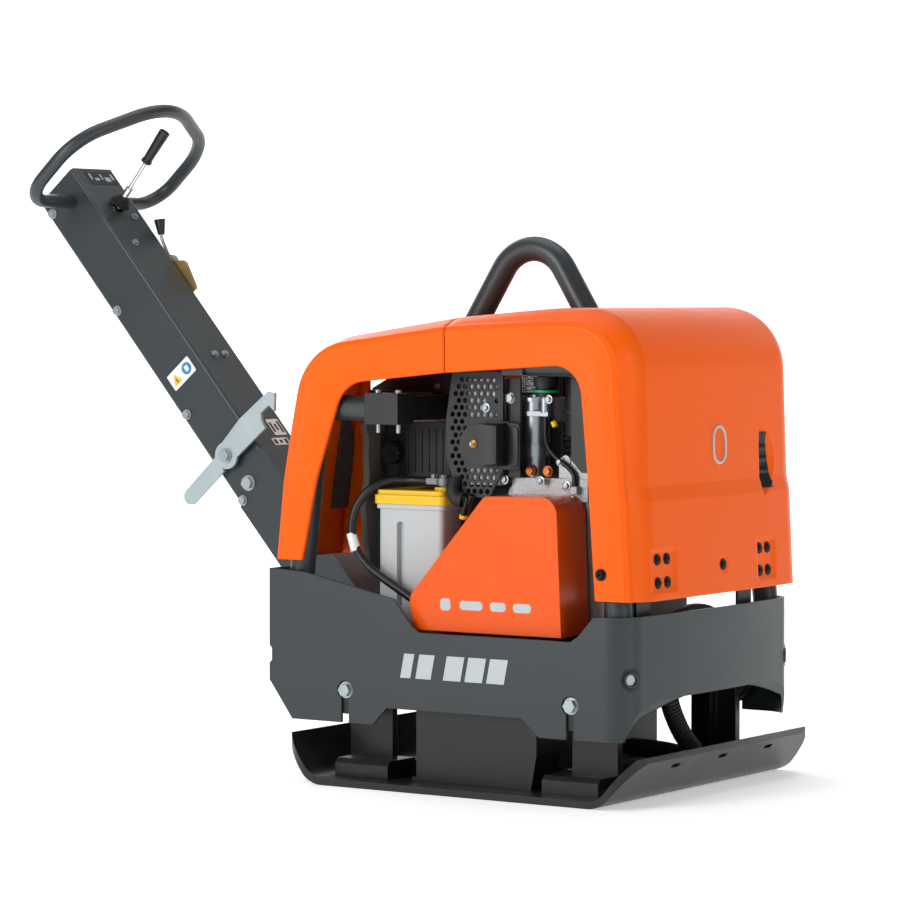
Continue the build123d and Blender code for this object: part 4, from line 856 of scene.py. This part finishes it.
def deflector():
    """Round-nosed exhaust box on a flange with rounded corners and a raised rim, held by a nut."""
    middle = 566

    def round_nose(front, half, reach):
        turns = np.linspace(math.pi / 2, -math.pi / 2, 25)
        nose = [(4 - reach * math.cos(t), middle - half * math.sin(t)) for t in turns]
        return [(front, middle + half), (front, middle - half)] + nose

    bm = bmesh.new()
    prism(bm, round_nose(40, 34, 38), 34, near_plane(0, -207, 0), bevel=3.5)
    prism(bm, round_nose(43, 38, 40), 3, near_plane(0, -191.5, 0), bevel=1.0)
    prism(bm, rounded_rect(40, 76, 7), 3.0, near_plane(44, -193, 563), bevel=0.8)
    prism(bm, rounded_rect(20, 66, 6), 2.6, near_plane(52, -195.5, 563), bevel=1.0)
    prism(bm, rounded_rect(4, 62, 1.8), 3.0, near_plane(37.5, -225.5, middle), bevel=0.8)
    body = new_object("deflector_detail", bm, "tank_black", "chassis")
    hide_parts("exhaust_deflector")

    x, z = -6, 567
    bm = bmesh.new()
    add_disc(bm, 6.5, 2.0, near_plane(x, -225, z), segments=32, bevel=0.5)
    add_disc(bm, 5.2, 4.5, near_plane(x, -227.5, z), segments=6, bevel=0.5)
    new_object("deflector_nut", bm, "brass", "chassis", smooth=35)
    bm = bmesh.new()
    add_disc(bm, 2.6, 7.0, near_plane(x, -230, z), segments=24, bevel=0.6)
    new_object("deflector_stud", bm, "zinc", "chassis", smooth=35)


def bay_bolts():
    """Flanged bolts on the silencer's guard, the bracket plate and the crankcase."""
    bm = bmesh.new()
    for x, y, z, size, washer in (
        (-4, -190, 625, 5.2, 7.8), (106, -172, 640, 5.0, 7.5), (24, -177, 508, 5.5, 8.0),
        (94, -177, 508, 5.0, 7.5), (143, -177, 501, 5.5, 8.0), (126, -170, 539, 4.5, 7.0),
        (152, -177, 478, 4.5, 7.0),
    ):
        hex_bolt(bm, x, y, z, size, washer)
    return new_object("bay_bolts", bm, "zinc", "chassis", smooth=35)


def engine_plate():
    """Pale plate on the engine with small plain dashes, and a bright bar below it."""
    plane = near_plane(55, -150, 668)
    flat_label("engine_plate", plane, rounded_rect(30, 36, 2), "label_white", "chassis", depth=1.2)
    left, right, gap = -12.5, 12.5, 0.9
    bm = bmesh.new()
    for row in range(9):
        x = left
        while x < right - 1.5:
            w = random.uniform(1.2, 4.2)
            if random.random() < 0.72:
                middle = Matrix.Translation(((x + w / 2) * MM, (14.8 - 3.7 * row) * MM, 0.75 * MM))
                size = Matrix.Diagonal((min(w, right - x) * MM, 2.2 * MM, 0.3 * MM, 1))
                bmesh.ops.create_cube(bm, size=1.0, matrix=plane @ middle @ size)
            x += w + gap
    new_object("engine_plate_marks", bm, "label_black", "chassis")
    bm = bmesh.new()
    prism(bm, rounded_rect(38, 7, 2), 2.0, near_plane(58, -152, 643), bevel=0.5)
    new_object("engine_plate_bar", bm, "zinc", "chassis")


def smooth_curve(points, steps=10):
    """Points of a smooth curve through the given ones."""
    curve = [Vector(p) * MM for p in points]
    padded = [curve[0] * 2 - curve[1]] + curve + [curve[-1] * 2 - curve[-2]]
    fine = []
    for p0, p1, p2, p3 in zip(padded, padded[1:], padded[2:], padded[3:]):
        for k in range(steps):
            t = k / steps
            square = 2 * p0 - 5 * p1 + 4 * p2 - p3
            cube = 3 * p1 - p0 - 3 * p2 + p3
            fine.append(0.5 * (2 * p1 + (p2 - p0) * t + square * t * t + cube * t ** 3))
    return fine + [curve[-1]]


def tube_through(name, points, radius, material, sides=20):
    """Round tube swept along a smooth curve through the points, with closed ends."""
    fine = smooth_curve(points)
    bm = bmesh.new()
    rings = []
    side = (fine[1] - fine[0]).orthogonal().normalized()
    for i, p in enumerate(fine):
        ahead = (fine[min(i + 1, len(fine) - 1)] - fine[max(i - 1, 0)]).normalized()
        side = (side - ahead * side.dot(ahead)).normalized()
        up = ahead.cross(side)
        rings.append([bm.verts.new(p + (side * x + up * y) * MM) for x, y in circle(radius, sides)])
    bridge(bm, rings)
    bm.faces.new(rings[0][::-1])
    bm.faces.new(rings[-1])
    return new_object(name, bm, material, "chassis")


def bay_hoses():
    """Wiring and rubber pieces between the battery and the engine."""
    looms = {
        "loom_a": (5.0, [(-28, -196, 482), (-42, -191, 456), (-51, -180, 434), (-48, -156, 396)]),
        "loom_b": (4.0, [(-38, -194, 476), (-50, -188, 454), (-58, -176, 436), (-58, -154, 404)]),
        "loom_c": (3.2, [(-34, -200, 478), (-44, -197, 450), (-54, -186, 430), (-52, -160, 392)]),
    }
    for name, (radius, points) in looms.items():
        tube_through(name, points, radius, "cable_black")
    elbow = [(-64, -188, 506), (-64, -196, 490), (-57, -198, 477), (-45, -196, 473)]
    tube_through("rubber_elbow", elbow, 12.5, "rubber_black")
    tube_through("loom_tie", [(-47, -192, 443), (-45.5, -193, 449)], 7.0, "battery_yellow")
    tube_through("hose_tag", [(112, -168, 604), (116, -168, 596)], 5.0, "battery_yellow")


def cable_sleeve():
    """White sleeve on the battery cable."""
    bm = bmesh.new()
    low, high = Vector((-239.5, -225, 384)), Vector((-249.3, -224.6, 413))
    axis = high - low
    add_disc(bm, 8.4, axis.length, facing(axis, (0, 1, 0), (low + high) / 2), segments=40, bevel=0.3)
    return new_object("cable_sleeve", bm, "label_white", "chassis")


def foam_strip():
    """Foam edge at the rear of the bay, wavy towards the near side."""
    bm = bmesh.new()
    low, high, far = 372, 596, -152
    wavy = [(-190 + 5 * math.sin(z / 26.0) + 2.5 * math.sin(z / 11.0), z) for z in np.linspace(high, low, 40)]
    prism(bm, wavy + [(far, low), (far, high)], 12, facing((1, 0, 0), (0, 0, 1), (-246, 0, 0)), bevel=2.5)
    return new_object("foam_strip", bm, "foam", "chassis")


filler_ring()
far_shade_backing()
battery_shield()
foam_patch()
battery_top()
rear_bulkhead()
deflector()
bay_bolts()
engine_plate()
bay_hoses()
cable_sleeve()
foam_strip()


# ---------------------------------------------------------------- studio
AZIMUTH, ELEVATION = math.radians(33.9), math.radians(2.4)
CAMERA_AIM = Vector((-0.2025, 0, 0.5448))
CAMERA_DISTANCE = 6.3349
CAMERA_LENS = 148.7


def studio_white():
    """White floor finish that glows more the further it is from the object."""
    mat = bpy.data.materials.new("studio_white")
    mat.use_nodes = True
    nodes, links = mat.node_tree.nodes, mat.node_tree.links
    bsdf = nodes["Principled BSDF"]
    bsdf.inputs["Base Color"].default_value = (0.92, 0.92, 0.92, 1)
    bsdf.inputs["Roughness"].default_value = 0.75
    bsdf.inputs["Emission Color"].default_value = (1, 1, 1, 1)
    place = nodes.new("ShaderNodeTexCoord")
    reach = nodes.new("ShaderNodeVectorMath")
    reach.operation = "LENGTH"
    glow = nodes.new("ShaderNodeMapRange")
    glow.interpolation_type = "SMOOTHSTEP"
    for key, value in (("From Min", 1.1), ("From Max", 5.5), ("To Min", 0.40), ("To Max", 0.96)):
        glow.inputs[key].default_value = value
    links.new(place.outputs["Object"], reach.inputs[0])
    links.new(reach.outputs["Value"], glow.inputs["Value"])
    links.new(glow.outputs["Result"], bsdf.inputs["Emission Strength"])
    return mat


def studio_floor():
    """Floor that curves up into a backdrop behind the object, in metres."""
    front, bend_start, bend, top, half_width, below = -14.0, 9.0, 3.0, 9.0, 16.0, 0.0002
    turns = np.linspace(0, math.pi / 2, 16)
    profile = [(front, 0.0)]
    profile += [(bend_start + bend * math.sin(a), bend - bend * math.cos(a)) for a in turns]
    profile += [(bend_start + bend, top)]
    away = Vector((-math.sin(AZIMUTH), math.cos(AZIMUTH), 0))
    across = Vector((math.cos(AZIMUTH), math.sin(AZIMUTH), 0))
    bm = bmesh.new()
    rows = []
    for s, z in profile:
        middle = away * s + Vector((0, 0, z - below))
        rows.append([bm.verts.new(middle + across * w) for w in (-half_width, half_width)])
    bridge(bm, rows, closed=False)
    floor = new_object("studio_floor", bm, "label_white", None, smooth=60)
    floor.data.materials.clear()
    floor.data.materials.append(studio_white())


def softbox(name, place, aim, size, power, color=(1, 1, 1)):
    light = bpy.data.lights.new(name, "AREA")
    light.shape = "RECTANGLE"
    light.size, light.size_y = size
    light.energy = power
    light.color = color
    obj = bpy.data.objects.new(name, light)
    bpy.context.scene.collection.objects.link(obj)
    obj.location = place
    obj.rotation_euler = (Vector(aim) - Vector(place)).to_track_quat("-Z", "Y").to_euler()


def lighting():
    world = bpy.data.worlds.new("studio")
    bpy.context.scene.world = world
    world.use_nodes = True
    background = world.node_tree.nodes["Background"]
    background.inputs["Color"].default_value = (0.95, 0.97, 1.0, 1)
    background.inputs["Strength"].default_value = 0.26
    softbox("key_left", (-1.4, -4.4, 2.3), (-0.1, 0, 0.45), (1.8, 2.2), 92, (1.0, 0.99, 0.97))
    softbox("front_right", (4.6, -0.9, 2.0), (0.2, 0, 0.5), (1.4, 2.6), 39, (0.98, 0.99, 1.0))
    softbox("overhead", (-0.4, 0.3, 4.2), (-0.1, 0, 0.3), (3.6, 3.6), 64)
    softbox("bay_fill", (-0.7, -2.3, 0.75), (-0.2, 0, 0.5), (0.9, 0.7), 6)
    softbox("back_edge", (-3.6, 2.6, 2.6), (-0.3, 0, 0.7), (1.4, 2.4), 26)


def viewpoint():
    scene = bpy.context.scene
    camera = bpy.data.cameras.new("view")
    camera.lens = CAMERA_LENS
    camera.sensor_width = 36.0
    camera.clip_end = 60.0
    eye = bpy.data.objects.new("view", camera)
    scene.collection.objects.link(eye)
    level = math.cos(ELEVATION)
    back = Vector((math.sin(AZIMUTH) * level, -math.cos(AZIMUTH) * level, math.sin(ELEVATION)))
    eye.location = CAMERA_AIM + back * CAMERA_DISTANCE
    eye.rotation_euler = (-back).to_track_quat("-Z", "Y").to_euler()
    scene.camera = eye
    scene.view_settings.view_transform = "Standard"
    scene.view_settings.look = "None"


studio_floor()
lighting()
viewpoint()
